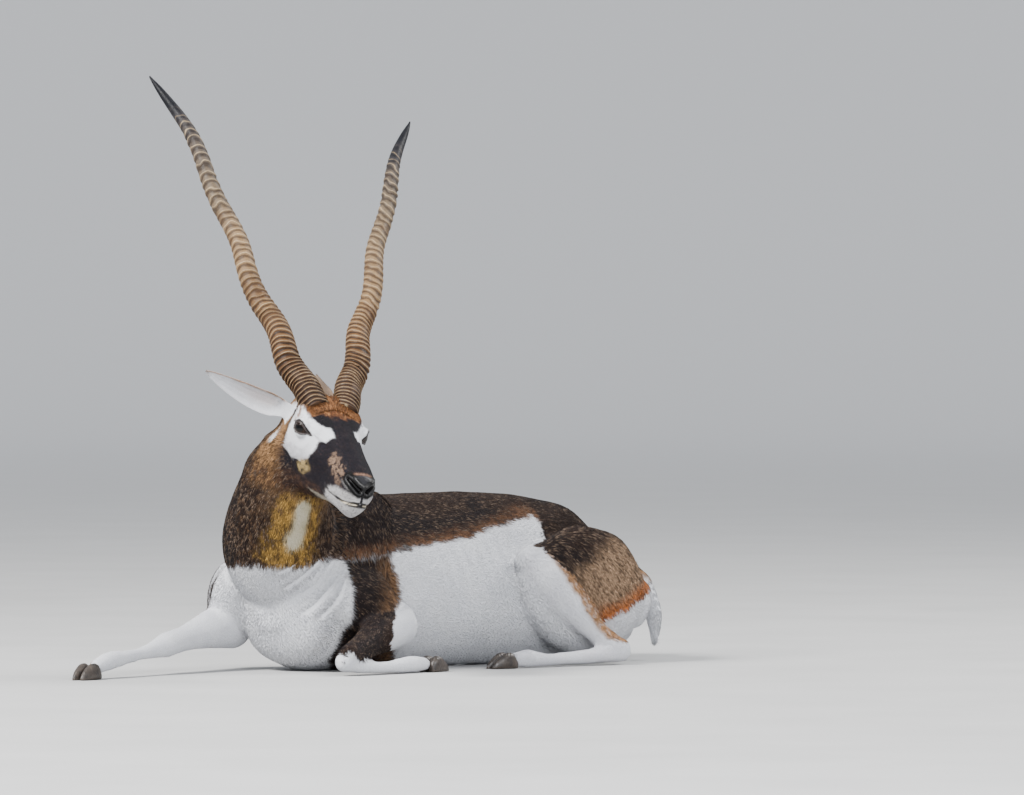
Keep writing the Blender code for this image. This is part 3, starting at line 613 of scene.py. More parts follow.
# The head, in centimetres in its own frame.

# x, crown, brow y and z, cheek y and z, jaw y and z, underside
HEAD = (
    (-9.0, 3.0, 2.9, 2.4, 4.1, -0.8, 3.1, -3.9, -5.0),
    (-8.0, 4.1, 3.4, 3.3, 4.7, -0.5, 3.6, -4.7, -6.2),
    (-6.0, 5.1, 3.8, 4.1, 5.1, -0.2, 3.9, -5.4, -7.4),
    (-3.0, 5.8, 4.0, 4.5, 5.1, 0.1, 3.9, -6.0, -8.3),
    (-1.0, 5.4, 4.4, 3.9, 5.2, 0.3, 3.8, -6.4, -8.5),
    (1.0, 4.6, 4.6, 3.2, 5.0, 0.2, 3.6, -6.3, -8.4),
    (3.0, 3.9, 4.0, 2.6, 4.5, -0.3, 3.2, -6.1, -8.1),
    (5.0, 3.2, 3.0, 2.1, 3.9, -0.9, 2.8, -5.8, -7.7),
    (8.0, 2.3, 2.3, 1.4, 3.1, -1.5, 2.4, -5.6, -7.4),
    (11.0, 1.4, 2.0, 0.6, 2.8, -2.1, 2.1, -5.6, -7.4),
    (13.5, 0.6, 2.0, -0.2, 2.6, -2.5, 1.9, -5.7, -7.5),
    (15.1, -0.1, 1.9, -0.9, 2.3, -2.7, 1.6, -5.6, -7.2),
    (16.2, -0.9, 1.5, -1.6, 1.85, -2.9, 1.25, -5.2, -6.4),
    (16.8, -1.8, 0.9, -2.2, 1.15, -3.1, 0.7, -4.6, -5.4),
)
LIP_LINE = (
    (17.2, 0.0, -4.55),
    (16.6, 0.85, -4.70),
    (15.1, 1.60, -4.90),
    (12.5, 2.10, -4.90),
    (10.3, 2.45, -4.75),
    (8.7, 2.60, -4.40),
)
NOSTRIL = ((17.0, 0.62, -2.55), (16.6, 1.20, -2.20), (15.8, 1.75, -1.70), (15.1, 2.00, -1.50))
# a fold behind the corner of the mouth
MOUTH_FOLD = ((8.5, 2.7, -4.0), (8.0, 2.8, -4.7), (8.4, 2.6, -5.4))
# the groove that runs from the eye's corner towards the nose
TEAR_LINE = ((1.9, 4.95, 1.35), (2.8, 4.60, 1.35), (3.7, 4.10, 1.25), (4.7, 3.60, 1.00))
HEAD_RINGS = 198
HEAD_SIDES = 164
# the way an eye looks, the tilt of its opening in degrees, half its width and its height above and below
EYE_LOOKS = (0.50, 0.866, 0.04)
EYE_TILT = 13.0
EYE_FORE = 61.0
EYE_AFT = 58.0
EYE_UP = 27.0
EYE_DOWN = 29.0
LID_THICK = 0.20
LID_ROLL = 0.10
UPPER_FOLD = 0.10
LOWER_FOLD = 0.06


def eye_axes(side):
    """Ball centre, outward axis, axis towards the nose and upward axis of one eye."""
    centre = np.array(EYE_AT) * (1, side, 1)
    outward = unit(np.array(EYE_LOOKS) * (1, side, 1))
    level = unit(np.array([1.0, 0.0, 0.0]) - outward[0] * outward)
    upward = unit(np.cross(level, outward) * -side)
    if upward[2] < 0:
        upward = -upward
    tilt = math.radians(EYE_TILT)
    fore = level * math.cos(tilt) - upward * math.sin(tilt)
    upward = upward * math.cos(tilt) + level * math.sin(tilt)
    return centre, outward, fore, upward


def eye_angles(points, side):
    """Distance from the ball's centre, angle towards the nose and angle upwards, in degrees."""
    centre, outward, fore, upward = eye_axes(side)
    rel = points - centre
    far = np.linalg.norm(rel, axis=-1)
    rel = rel / np.maximum(far, 1e-9)[..., None]
    a = np.degrees(np.arctan2(rel @ fore, rel @ outward))
    b = np.degrees(np.arcsin(np.clip(rel @ upward, -1, 1)))
    return far, a, b, rel


def almond(a):
    """Height of the upper and the lower lid's edge over the level line at each angle towards the nose."""
    share = np.clip(np.abs(a) / np.where(a > 0, EYE_FORE, EYE_AFT), 0, 1)
    # towards the nose the corner is drawn out into a point
    curve = np.where(a > 0, (1 - share**1.5) ** 1.25, (1 - share**2.2) ** 0.8)
    return EYE_UP * curve, EYE_DOWN * curve


def opening(a, b):
    """Degrees outside the almond between the lids: negative where the ball shows."""
    upper, lower = almond(a)
    beyond = np.maximum(np.maximum(a - EYE_FORE, -EYE_AFT - a), 0)
    return np.where(b > 0, b - upper, -b - lower) + beyond


def lids(points):
    """Lays the skin over each ball as lids, opens it in an almond and folds it above the upper lid."""
    for side in (1, -1):
        far, a, b, rel = eye_angles(points, side)
        centre, outward, _, _ = eye_axes(side)
        angle = np.degrees(np.arccos(np.clip(rel @ outward, -1, 1)))
        cover = 1 - ease(46, 92, angle)
        cover *= far < 4.0
        # a roll over the upper lid, the fold above it, and a shallower fold below the lower lid
        roll = hill(b - 34, 9) * (b > 0) * ease(60, 30, np.abs(a))
        lid = EYE_RADIUS + LID_THICK + LID_ROLL * roll
        lid = lid - UPPER_FOLD * hill(b - 44, 5) * (np.abs(a) < 60)
        lid = lid - LOWER_FOLD * hill(-b - 40, 5) * (np.abs(a) < 45)
        reach = far + (np.maximum(lid, 0) - far) * cover
        outside = opening(a, b)
        inside = 1 - ease(-3.0, 1.5, outside)
        inside *= angle < 75
        reach = reach + (EYE_RADIUS - 0.30 - reach) * inside
        moved = centre + rel * reach[..., None]
        use = ((cover > 0) | (inside > 0))[..., None]
        points = np.where(use, moved, points)
    return points


def near_line(points, line, steps=60):
    """Distance to a smooth curve through the given points, and the share along it."""
    line = np.asarray(line, float)
    knots = np.arange(len(line))
    fine = spline(knots, line, np.linspace(0, knots[-1], steps))
    best = np.full(len(points), 1e9)
    share = np.zeros(len(points))
    for k, spot in enumerate(fine):
        far = ((points - spot) ** 2).sum(-1)
        closer = far < best
        best[closer] = far[closer]
        share[closer] = k / (steps - 1)
    return np.sqrt(best), share


# mounds and hollows of the face: height, middle and reach in centimetres, the same on both sides
FACE_MOUNDS = (
    (0.26, (0.0, 4.4, 3.9), (1.9, 1.2, 0.9)),
    (-0.30, (5.6, 3.2, 0.4), (1.7, 1.5, 1.0)),
    (0.16, (4.4, 4.2, -1.9), (3.2, 1.4, 0.8)),
    (-0.22, (7.6, 3.0, -2.9), (2.4, 1.6, 1.2)),
    (0.22, (-1.5, 4.2, -4.0), (2.6, 1.8, 2.2)),
    (-0.20, (-4.4, 4.6, 2.4), (1.5, 1.6, 1.2)),
    (0.30, (-2.6, 2.8, 5.0), (2.3, 2.1, 1.6)),
    (-0.12, (-1.0, 0.0, 5.4), (2.5, 0.8, 1.5)),
    (0.10, (13.4, 2.6, -1.9), (2.2, 1.2, 1.3)),
    (0.22, (12.6, 2.2, -3.6), (2.6, 1.2, 0.9)),
    (0.20, (15.7, 1.9, -3.6), (1.3, 1.0, 0.8)),
    (0.16, (15.9, 1.7, -1.4), (1.1, 0.9, 0.8)),
    (-0.14, (14.6, 2.2, -2.6), (0.9, 1.0, 0.7)),
)


def mounds(points, table):
    """Sum of Gaussian hills, each a height, a middle and its reach."""
    return sum(height * bump(points, middle, reach) for height, middle, reach in table)


def face_relief(points, normals):
    """Bones, hollows, nostrils, philtrum and lips, as moves along the normal in centimetres."""
    both = folded(points)
    rise = mounds(both, FACE_MOUNDS)
    # tear groove from the corner of the eye
    tear, _ = near_line(both, TEAR_LINE)
    rise -= 0.20 * hill(tear, 0.30)
    # nostril: a comma that runs back and up from its middle
    slit, share = near_line(both, NOSTRIL)
    wide = 0.46 - 0.24 * share
    rise -= 0.85 * (1 - ease(0.35, 1.0, slit / wide)) * (1 - 0.55 * share)
    rise += 0.16 * hill(slit - wide - 0.22, 0.20) * (points[:, 0] > 14.6)
    # groove under the nose
    cleft = np.abs(points[:, 1]) / 0.13
    rise -= 0.16 * np.exp(-(cleft**2)) * ease(16.2, 16.9, points[:, 0]) * ease(-1.6, -2.6, points[:, 2])
    # lips: the mouth's line and a roll above and below it
    lip, share = near_line(both, LIP_LINE, 80)
    above = points[:, 2] - np.interp(share, np.linspace(0, 1, len(LIP_LINE)), np.array(LIP_LINE)[:, 2])
    fade = 1 - 0.65 * ease(0.72, 1.0, share)
    rise -= 0.34 * fade * hill(lip, 0.15)
    rise += 0.10 * fade * hill(above - 0.42, 0.30) * hill(lip, 0.7)
    rise += 0.12 * fade * hill(above + 0.36, 0.28) * hill(lip, 0.7)
    # small folds behind the corner of the mouth
    for step in (0.45, 0.95):
        fold, _ = near_line(both, np.array(MOUTH_FOLD) - (step, 0, 0))
        rise -= 0.06 * hill(fold, 0.14)
    return points + normals * rise[:, None]


def grid_normals(rings):
    """Normals of a ring grid that is closed around: cross product of its two central differences."""
    along = np.gradient(rings, axis=0)
    around = np.roll(rings, -1, axis=1) - np.roll(rings, 1, axis=1)
    normals = unit(np.cross(around, along))
    middle = rings.mean(axis=1, keepdims=True)
    if ((rings - middle) * normals).sum() < 0:
        normals = -normals
    return normals


def head_rings():
    """Outlines across the head from nape to nose, closer together round the eyes and the muzzle."""
    rows = np.array(HEAD)
    x = crowded(-9.0, 16.8, HEAD_RINGS, ((1.4, 2.8, 2.4), (15.9, 1.6, 2.6), (5.5, 3.0, 0.6)))
    top, brow_y, brow_z, cheek_y, cheek_z, jaw_y, jaw_z, under = spline(rows[:, 0], rows[:, 1:], x).T
    none = np.zeros_like(x)
    left = np.stack([none, 0.55 * brow_y, brow_y, cheek_y, jaw_y, 0.5 * jaw_y, none], 1)
    upper = 0.3 * brow_z + 0.7 * top
    lower = 0.3 * jaw_z + 0.7 * under
    up = np.stack([top, upper, brow_z, cheek_z, jaw_z, lower, under], 1)
    y = np.concatenate([left, -left[:, -2:0:-1]], 1)
    z = np.concatenate([up, up[:, -2:0:-1]], 1)
    count = y.shape[1]
    crowds = ((2.5, 0.8, 1.7), (9.5, 0.8, 1.7), (4.0, 0.5, 0.6), (8.0, 0.5, 0.6))
    turns = crowded(0, count, HEAD_SIDES + 1, crowds)[:-1] + count
    wrap = np.arange(3 * count)
    rings = []
    for at, ring_y, ring_z in zip(x, y, z):
        corners = np.tile(np.stack([ring_y, ring_z], 1), (3, 1))
        rings.append(np.c_[np.full(len(turns), at), spline(wrap, corners, turns)])
    rings = np.array(rings)
    last = rings[-1]
    middle = last.mean(axis=0)
    front = []
    for f in np.radians(np.linspace(6, 88, 22)):
        ring = middle + (last - middle) * math.cos(f)
        ring[:, 0] = last[:, 0] + 0.38 * math.sin(f)
        front.append(ring)
    return np.concatenate([rings, front])


def make_head():
    """Head grid with its relief and lids, drawn in by the coat's depth."""
    rings = head_rings()
    for _ in range(3):
        rings[1:-1] = 0.5 * rings[1:-1] + 0.25 * (rings[2:] + rings[:-2])
    shape = rings.shape
    normals = grid_normals(rings).reshape(-1, 3)
    points = rings.reshape(-1, 3) - normals * (HEAD_DEPTH * 100)
    points = face_relief(points, normals)
    points = lids(points)
    return closed_grid("head_skin", from_head(points).reshape(shape))


def ear_rings(word, steps=46, sides=44):
    """A leaf-shaped cup: each ring is a crescent, deep at the base and thin towards the tip."""
    base, tip, mouth = (np.array(row) for row in EARS[word])
    base = base / 100
    tip = tip / 100
    along = (tip - base) / np.linalg.norm(tip - base)
    mouth = unit(mouth - (mouth @ along) * along)
    across = np.cross(mouth, along)
    rings = []
    for f in np.linspace(-0.04, 1, steps):
        share = max(f, 0.0)
        wide = EAR_WIDTH * math.sin(math.pi * (0.16 + 0.84 * share)) ** 0.62 * (1 - 0.36 * share) + 0.0010
        wide = wide * (0.80 + 0.20 * min(1.0, share / 0.25))
        thick = 0.0030 * (1 - 0.6 * share)
        deep = 0.62 * wide * (1 - 0.35 * share)
        open_from = min(1.0, share / 0.16)
        bow = math.sin(math.pi * share)
        centre = base + along * f * np.linalg.norm(tip - base) - mouth * 0.006 * bow
        centre[2] -= EAR_SAG[word] * bow
        half = sides // 2
        k = np.arange(sides)
        outer = k < half
        s = -1 + 2 * np.where(outer, k, sides - 1 - k) / (half - 1)
        s = np.sin(s * math.pi / 2)
        curve = deep * (1 - s * s)
        wall = thick * np.sqrt(np.clip(1.02 - s * s, 0, 1))
        inner = (-curve + wall * 0.5 * open_from) * open_from + wide * 0.35 * (1 - s * s) * (1 - open_from)
        # low ribs along the inside of the cup
        inner = inner + 0.0006 * np.cos(s * 14) * (1 - s * s) * open_from * bow
        back = np.where(outer, -curve - wall, inner)
        rings.append(centre + across * (wide * s)[:, None] + mouth * back[:, None])
    return np.array(rings) * HEAD_SCALE @ HEAD_TURN.T + HEAD_AT


# The skin.


def crease(points, line, deep, wide):
    """Depth of a soft groove along a smooth curve."""
    far, share = near_line(points, line, 40)
    ends = np.minimum(1, 5 * np.minimum(share + 0.02, 1.02 - share))
    return deep * ends * hill(far, wide)


# grooves in the hide: depth and half width of each, then points along it in the model's frame
CREASES = (
    (0.0046, 0.0044, (0.306, 0.134, 0.178), (0.323, 0.144, 0.155), (0.339, 0.139, 0.132),
     (0.357, 0.126, 0.108), (0.374, 0.106, 0.092)),
    (0.0038, 0.0042, (0.317, 0.129, 0.185), (0.334, 0.132, 0.163), (0.351, 0.129, 0.144),
     (0.371, 0.113, 0.124)),
    (0.0030, 0.0040, (0.342, 0.132, 0.185), (0.360, 0.131, 0.167), (0.381, 0.122, 0.148),
     (0.401, 0.102, 0.132)),
    (0.0044, 0.0044, (0.311, 0.150, 0.155), (0.322, 0.153, 0.129), (0.333, 0.141, 0.105),
     (0.351, 0.129, 0.088)),
    (0.0022, 0.0044, (0.382, 0.143, 0.188), (0.399, 0.132, 0.171), (0.420, 0.114, 0.158)),
    (0.0040, 0.0080, (0.418, -0.030, 0.190), (0.430, -0.046, 0.150), (0.430, -0.052, 0.105)),
)


# mounds and hollows of the trunk: height, middle and reach along, left and up
BODY_MOUNDS = (
    (0.0045, (0.215, 0.062, 0.232), (0.020, 0.030, 0.050)),
    (-0.0060, (0.160, 0.110, 0.170), (0.030, 0.040, 0.060)),
    (0.0060, (-0.150, 0.080, 0.236), (0.024, 0.022, 0.022)),
    (-0.0080, (-0.070, 0.110, 0.205), (0.040, 0.050, 0.035)),
    (-0.0070, (-0.215, 0.070, 0.214), (0.036, 0.030, 0.026)),
    (0.0030, (-0.050, 0.130, 0.120), (0.100, 0.050, 0.060)),
)
RIB_PITCH = 0.026
RIB_HEIGHT = 0.0004


def body_relief(points, normals):
    """Muscle, bone and folds of the body, as moves along the normal in metres."""
    straight = to_straight(points)
    both = folded(straight)
    rise = mounds(both, BODY_MOUNDS)
    ribs = np.cos(2 * math.pi * (both[:, 0] - 0.35 * both[:, 2]) / RIB_PITCH)
    rise += RIB_HEIGHT * ribs * bump(both, (0.070, 0.120, 0.150), (0.090, 0.060, 0.060))
    spine = hill(straight[:, 1], 0.012) * ease(0.20, 0.25, points[:, 2])
    rise += 0.0022 * (spine * ease(-0.28, -0.2, both[:, 0]))
    rise += 0.0016 * (noise(points, 0.035, 5) - 0.5)
    for deep, wide, *line in CREASES:
        rise -= crease(points, line, deep, wide)
    return points + normals * rise[:, None]


def fused_body():
    """The tubes below the head as one surface: remeshed, smoothed and laid on the floor."""
    parts = [closed_grid("trunk", trunk_rings())]
    for name, tube in TUBES.items():
        if name not in ("trunk", "head", "ear_left", "ear_right"):
            parts.append(closed_grid(name, tube_rings(tube)))
    build = bmesh.new()
    for part in parts:
        build.from_mesh(part.data)
        bpy.data.objects.remove(part)
    mesh = bpy.data.meshes.new("body")
    build.to_mesh(mesh)
    build.free()
    body = bpy.data.objects.new("body", mesh)
    bpy.context.scene.collection.objects.link(body)
    remesh = body.modifiers.new("remesh", "REMESH")
    remesh.mode = "VOXEL"
    remesh.voxel_size = SKIN_VOXEL
    smooth = body.modifiers.new("smooth", "SMOOTH")
    smooth.factor = 0.5
    smooth.iterations = 9
    apply_modifiers(body)
    points = body_relief(points_of(body), normals_of(body))
    low = points[:, 2] < 0.0006
    points[low, 2] = FLOOR_GAP
    place(body, points)
    return body


def distances(tree, points, limit):
    """Distance from each point to a surface, or the limit where it is further."""
    found = np.full(len(points), limit)
    for k, point in enumerate(points):
        hit = tree.find_nearest(point, limit)
        if hit[3] is not None:
            found[k] = hit[3]
    return found


def make_skin():
    """Body, head and ears joined, with the joins smoothed over."""
    body = fused_body()
    head = make_head()
    ears = [closed_grid("ear_form_" + word, ear_rings(word)) for word in EARS]
    solids = [body, head, *ears]
    trees = [BVHTree.FromObject(obj, bpy.context.evaluated_depsgraph_get()) for obj in solids]
    joined(body, [head, *ears])
    body.name = "skin"
    body.data.name = "skin"
    points = points_of(body)
    near = np.stack([distances(tree, [Vector(p) for p in points], 0.02) for tree in trees], 1)
    near.sort(axis=1)
    seam = near[:, 1] < 3e-5
    edges = edges_of(body)
    weight = seam.astype(float)[:, None]
    for _ in range(9):
        weight = np.maximum(weight, neighbour_mean(edges, weight, len(points)) * 1.6)
        weight = np.minimum(weight, 1)
    weight = ease(0.02, 0.6, weight[:, 0])[:, None]
    # the ears keep their thin rims
    x, y, z = to_head(points).T
    ear_part = np.maximum(ease(7.5, 9.0, np.abs(y)), ease(-9.5, -11, x) * ease(1.5, 3.0, z))
    weight = weight * (1 - ear_part)[:, None]
    for _ in range(24):
        points = points + 0.6 * weight * (neighbour_mean(edges, points, len(points)) - points)
    place(body, points)
    return body


# Which tube a point belongs to, where along it, and the way its coat lies.

FIELD_STEPS = 26
FIELD_BATCH = 40000
# the ears and the head claim points this much further out than their tubes
EAR_CLAIM = 0.002
HEAD_CLAIM = 0.006


def field(points):
    """Nearest tube of each point by its elliptic distance, with its share, its angle and the tube's way."""
    count = len(points)
    label = np.full(count, NAMES.index("trunk"))
    trunk = np.array(TRUNK)
    straight = to_straight(points)
    t = np.clip(straight[:, 0], trunk[0, 0], trunk[-1, 0])
    top, bottom, half, widest = spline(trunk[:, 0], trunk[:, 1:], t).T
    rise = straight[:, 2] - widest
    tall = np.where(rise > 0, top - widest, widest - bottom)
    norm = ((np.abs(straight[:, 1]) / half) ** 2.2 + (np.abs(rise) / tall) ** 2.2) ** (1 / 2.2)
    reach = np.hypot(straight[:, 1], rise)
    best = reach * (1 - 1 / np.maximum(norm, 1e-6)) + np.abs(straight[:, 0] - t)
    share = (t - trunk[0, 0]) / (trunk[-1, 0] - trunk[0, 0])
    angle = np.arctan2(rise, straight[:, 1])
    turn = straight[:, 0] / BEND_RADIUS
    along = np.stack([np.cos(turn), np.sin(turn), 0 * turn], -1)
    for k, name in enumerate(NAMES):
        if name == "trunk":
            continue
        path, radii, tangent, across, other = path_of(TUBES[name], FIELD_STEPS)
        last = FIELD_STEPS - 1
        for start in range(0, count, FIELD_BATCH):
            part = slice(start, start + FIELD_BATCH)
            rel = points[part, None] - path
            i = (rel**2).sum(-1).argmin(1)
            rel = rel[np.arange(len(i)), i]
            a = (rel * across[i]).sum(-1)
            b = (rel * other[i]).sum(-1)
            c = (rel * tangent[i]).sum(-1)
            scaled = np.sqrt((a / radii[i, 0]) ** 2 + (b / radii[i, 1]) ** 2) + 1e-9
            beyond = np.where(i == 0, np.maximum(-c, 0), np.where(i == last, np.maximum(c, 0), 0))
            inside = (scaled - 1) * radii[i].min(1) + beyond
            outside = np.hypot(np.hypot(a, b) * (1 - 1 / scaled), beyond)
            signed = np.where(scaled < 1, inside, outside)
            if name.startswith("ear"):
                signed = signed - EAR_CLAIM
            if name == "head":
                signed = signed - HEAD_CLAIM
            closer = signed < best[part]
            best[part][closer] = signed[closer]
            label[part][closer] = k
            share[part][closer] = i[closer] / last
            angle[part][closer] = np.arctan2(b, a)[closer]
            along[part][closer] = tangent[i][closer]
    return label, share, angle, along


# how each tube's coat runs: along the tube, and added to that a drop and a sweep to the tail
LIE = {
    "trunk": (-0.85, 0.42, 0.0),
    "neck": (-1.0, 0.10, 0.0),
    "head": (1.0, 0.12, 0.0),
    "haunch": (0.55, 0.75, 0.25),
    "blade": (0.75, 0.35, 0.45),
    "arm": (0.85, 0.30, 0.25),
    "forearm": (1.0, 0.10, 0.0),
    "shank": (1.0, 0.15, 0.15),
    "cannon": (1.0, 0.05, 0.0),
    "hind": (1.0, 0.05, 0.0),
    "tail": (1.0, 0.20, 0.0),
    "ear": (1.0, 0.0, 0.0),
}


def coat_lie(points, normals, label, along):
    """Unit direction of the hair at each point, in the skin's plane."""
    straight = to_straight(points)
    turn = straight[:, 0] / BEND_RADIUS
    tailward = -np.stack([np.cos(turn), np.sin(turn), 0 * turn], -1)
    lie = np.zeros_like(points)
    for k, name in enumerate(NAMES):
        own, drop, sweep = LIE[name.split("_")[0]]
        here = label == k
        side = 1 - np.abs(normals[here, 2:]) * 0.8
        lie[here] = along[here] * own + tailward[here] * sweep
        lie[here, 2:] -= drop * side
    # hair on the face runs out from the middle line towards the cheeks, and up round the horns' feet
    face = label == NAMES.index("head")
    local = to_head(points[face])
    for side in (1, -1):
        low = horn_centre(np.array([0.0]), side)[0] * 100
        near = (horn_foot(local) < 0.9) & (local[:, 1] * side > 0)
        lie[np.flatnonzero(face)[near]] = unit(low - local[near]) @ HEAD_TURN.T * 1.5
    spread = np.stack([0 * local[:, 0], np.tanh(local[:, 1] / 1.5) * 0.35, 0 * local[:, 0]], -1)
    lie[face] += spread @ HEAD_TURN.T * ease(3, 9, local[:, 0])[:, None]
    lie -= (lie * normals).sum(-1, keepdims=True) * normals
    return unit(lie)


# Markings. Colours are sRGB from 0 to 255.

DARK = (27, 20, 21)
DARK_WARM = (46, 31, 23)
RUST = (118, 84, 60)
ORANGE = (178, 100, 46)
TAN = (164, 124, 88)
GREY_TAN = (158, 130, 104)
WHITE = (228, 229, 233)
CREAM = (206, 196, 164)
OCHRE = (168, 132, 68)
MASK = (19, 16, 23)
FOREHEAD = (122, 74, 40)
BEHIND_EYE = (142, 108, 74)
MUZZLE_TAN = (136, 111, 92)
MUZZLE_WHITE = (184, 182, 182)
CHEEK_PATCH = (176, 152, 104)
LID = (30, 25, 24)
NOSE = (27, 26, 30)
EAR_PINK = (224, 198, 186)
MASK_FLECK = (88, 66, 56)
CROWN_TAN = (150, 104, 62)
CHEEK_STRIP = (214, 212, 212)
FOREHEAD_TIPS = (188, 138, 92)
FOREHEAD_DARK = (26, 18, 18)
EYE_SMUDGE = (138, 104, 84)
EYE_PATCH_LOW_SHADE = (158, 156, 160)
EYE_SPECKS = (90, 84, 92)
HORN_COLLAR = (122, 82, 50)
BROW_SPOT = (20, 17, 22)
JAW_BROWN = (72, 50, 36)
CHIN_CREAM = (186, 178, 162)
MUZZLE_GRAIN = (104, 98, 98)
NOSE_RIM = (176, 136, 112)
LIP_BLACK = (18, 15, 17)
LIP_PALE = (204, 192, 168)
NOSTRIL_SHADE = (5, 4, 5)
TEAR_STAIN = (34, 30, 36)
EAR_SHADE = (206, 204, 210)
EAR_RIM = (168, 124, 84)
EAR_BACK = (204, 176, 152)
EAR_TIP = (96, 80, 72)
DARK_FLECK = (104, 84, 70)
LEG_SHADE = (208, 206, 212)
SHANK_LINE = (158, 118, 82)
NECK_FLECK = (128, 98, 70)
NECK_WORN = (124, 97, 70)
SHOULDER_WORN = (130, 98, 70)
FOLD_SHADE = (96, 86, 84)
WHITE_SHADE = (200, 202, 212)


def linear(colour):
    """Scene-linear value of an sRGB colour."""
    c = np.asarray(colour, float) / 255
    return np.where(c <= 0.04045, c / 12.92, ((c + 0.055) / 1.055) ** 2.4)


def mixed(base, colour, share):
    """The base with each point's share of a colour laid over it."""
    share = np.asarray(share)[:, None]
    return base * (1 - share) + linear(colour) * share


def polygon_inside(x, y, corners):
    """Signed distance to a polygon in a plane, negative inside."""
    corners = np.asarray(corners, float)
    following = np.roll(corners, -1, axis=0)
    best = np.full(len(x), 1e9)
    inside = np.zeros(len(x), bool)
    for (ax, ay), (bx, by) in zip(corners, following):
        ex, ey = bx - ax, by - ay
        f = np.clip(((x - ax) * ex + (y - ay) * ey) / (ex * ex + ey * ey), 0, 1)
        best = np.minimum(best, np.hypot(x - ax - f * ex, y - ay - f * ey))
        crosses = (ay > y) != (by > y)
        at = ax + (y - ay) / np.where(ey == 0, 1e-9, ey) * ex
        inside ^= crosses & (x < at)
    return np.where(inside, -best, best)


def capsule(points, start, end, start_radius, end_radius):
    """Distance outside a capsule whose radius changes from end to end, over its radius."""
    start = np.asarray(start, float)
    axis = np.asarray(end, float) - start
    f = np.clip((points - start) @ axis / (axis @ axis), 0, 1)
    far = np.linalg.norm(points - start - f[:, None] * axis, axis=1)
    return far / (start_radius + (end_radius - start_radius) * f) - 1


# x and z in centimetres of the white patch round each eye
EYE_PATCH = (
    (-3.2, -0.4),
    (-3.3, 1.6),
    (-3.0, 3.3),
    (-1.9, 4.3),
    (-0.3, 4.1),
    (1.6, 3.3),
    (3.2, 2.9),
    (5.2, 3.0),
    (6.8, 2.2),
    (6.0, 1.2),
    (4.8, 0.9),
    (5.0, -0.6),
    (4.2, -2.0),
    (2.2, -3.1),
    (-0.6, -3.3),
    (-2.6, -2.4),
)


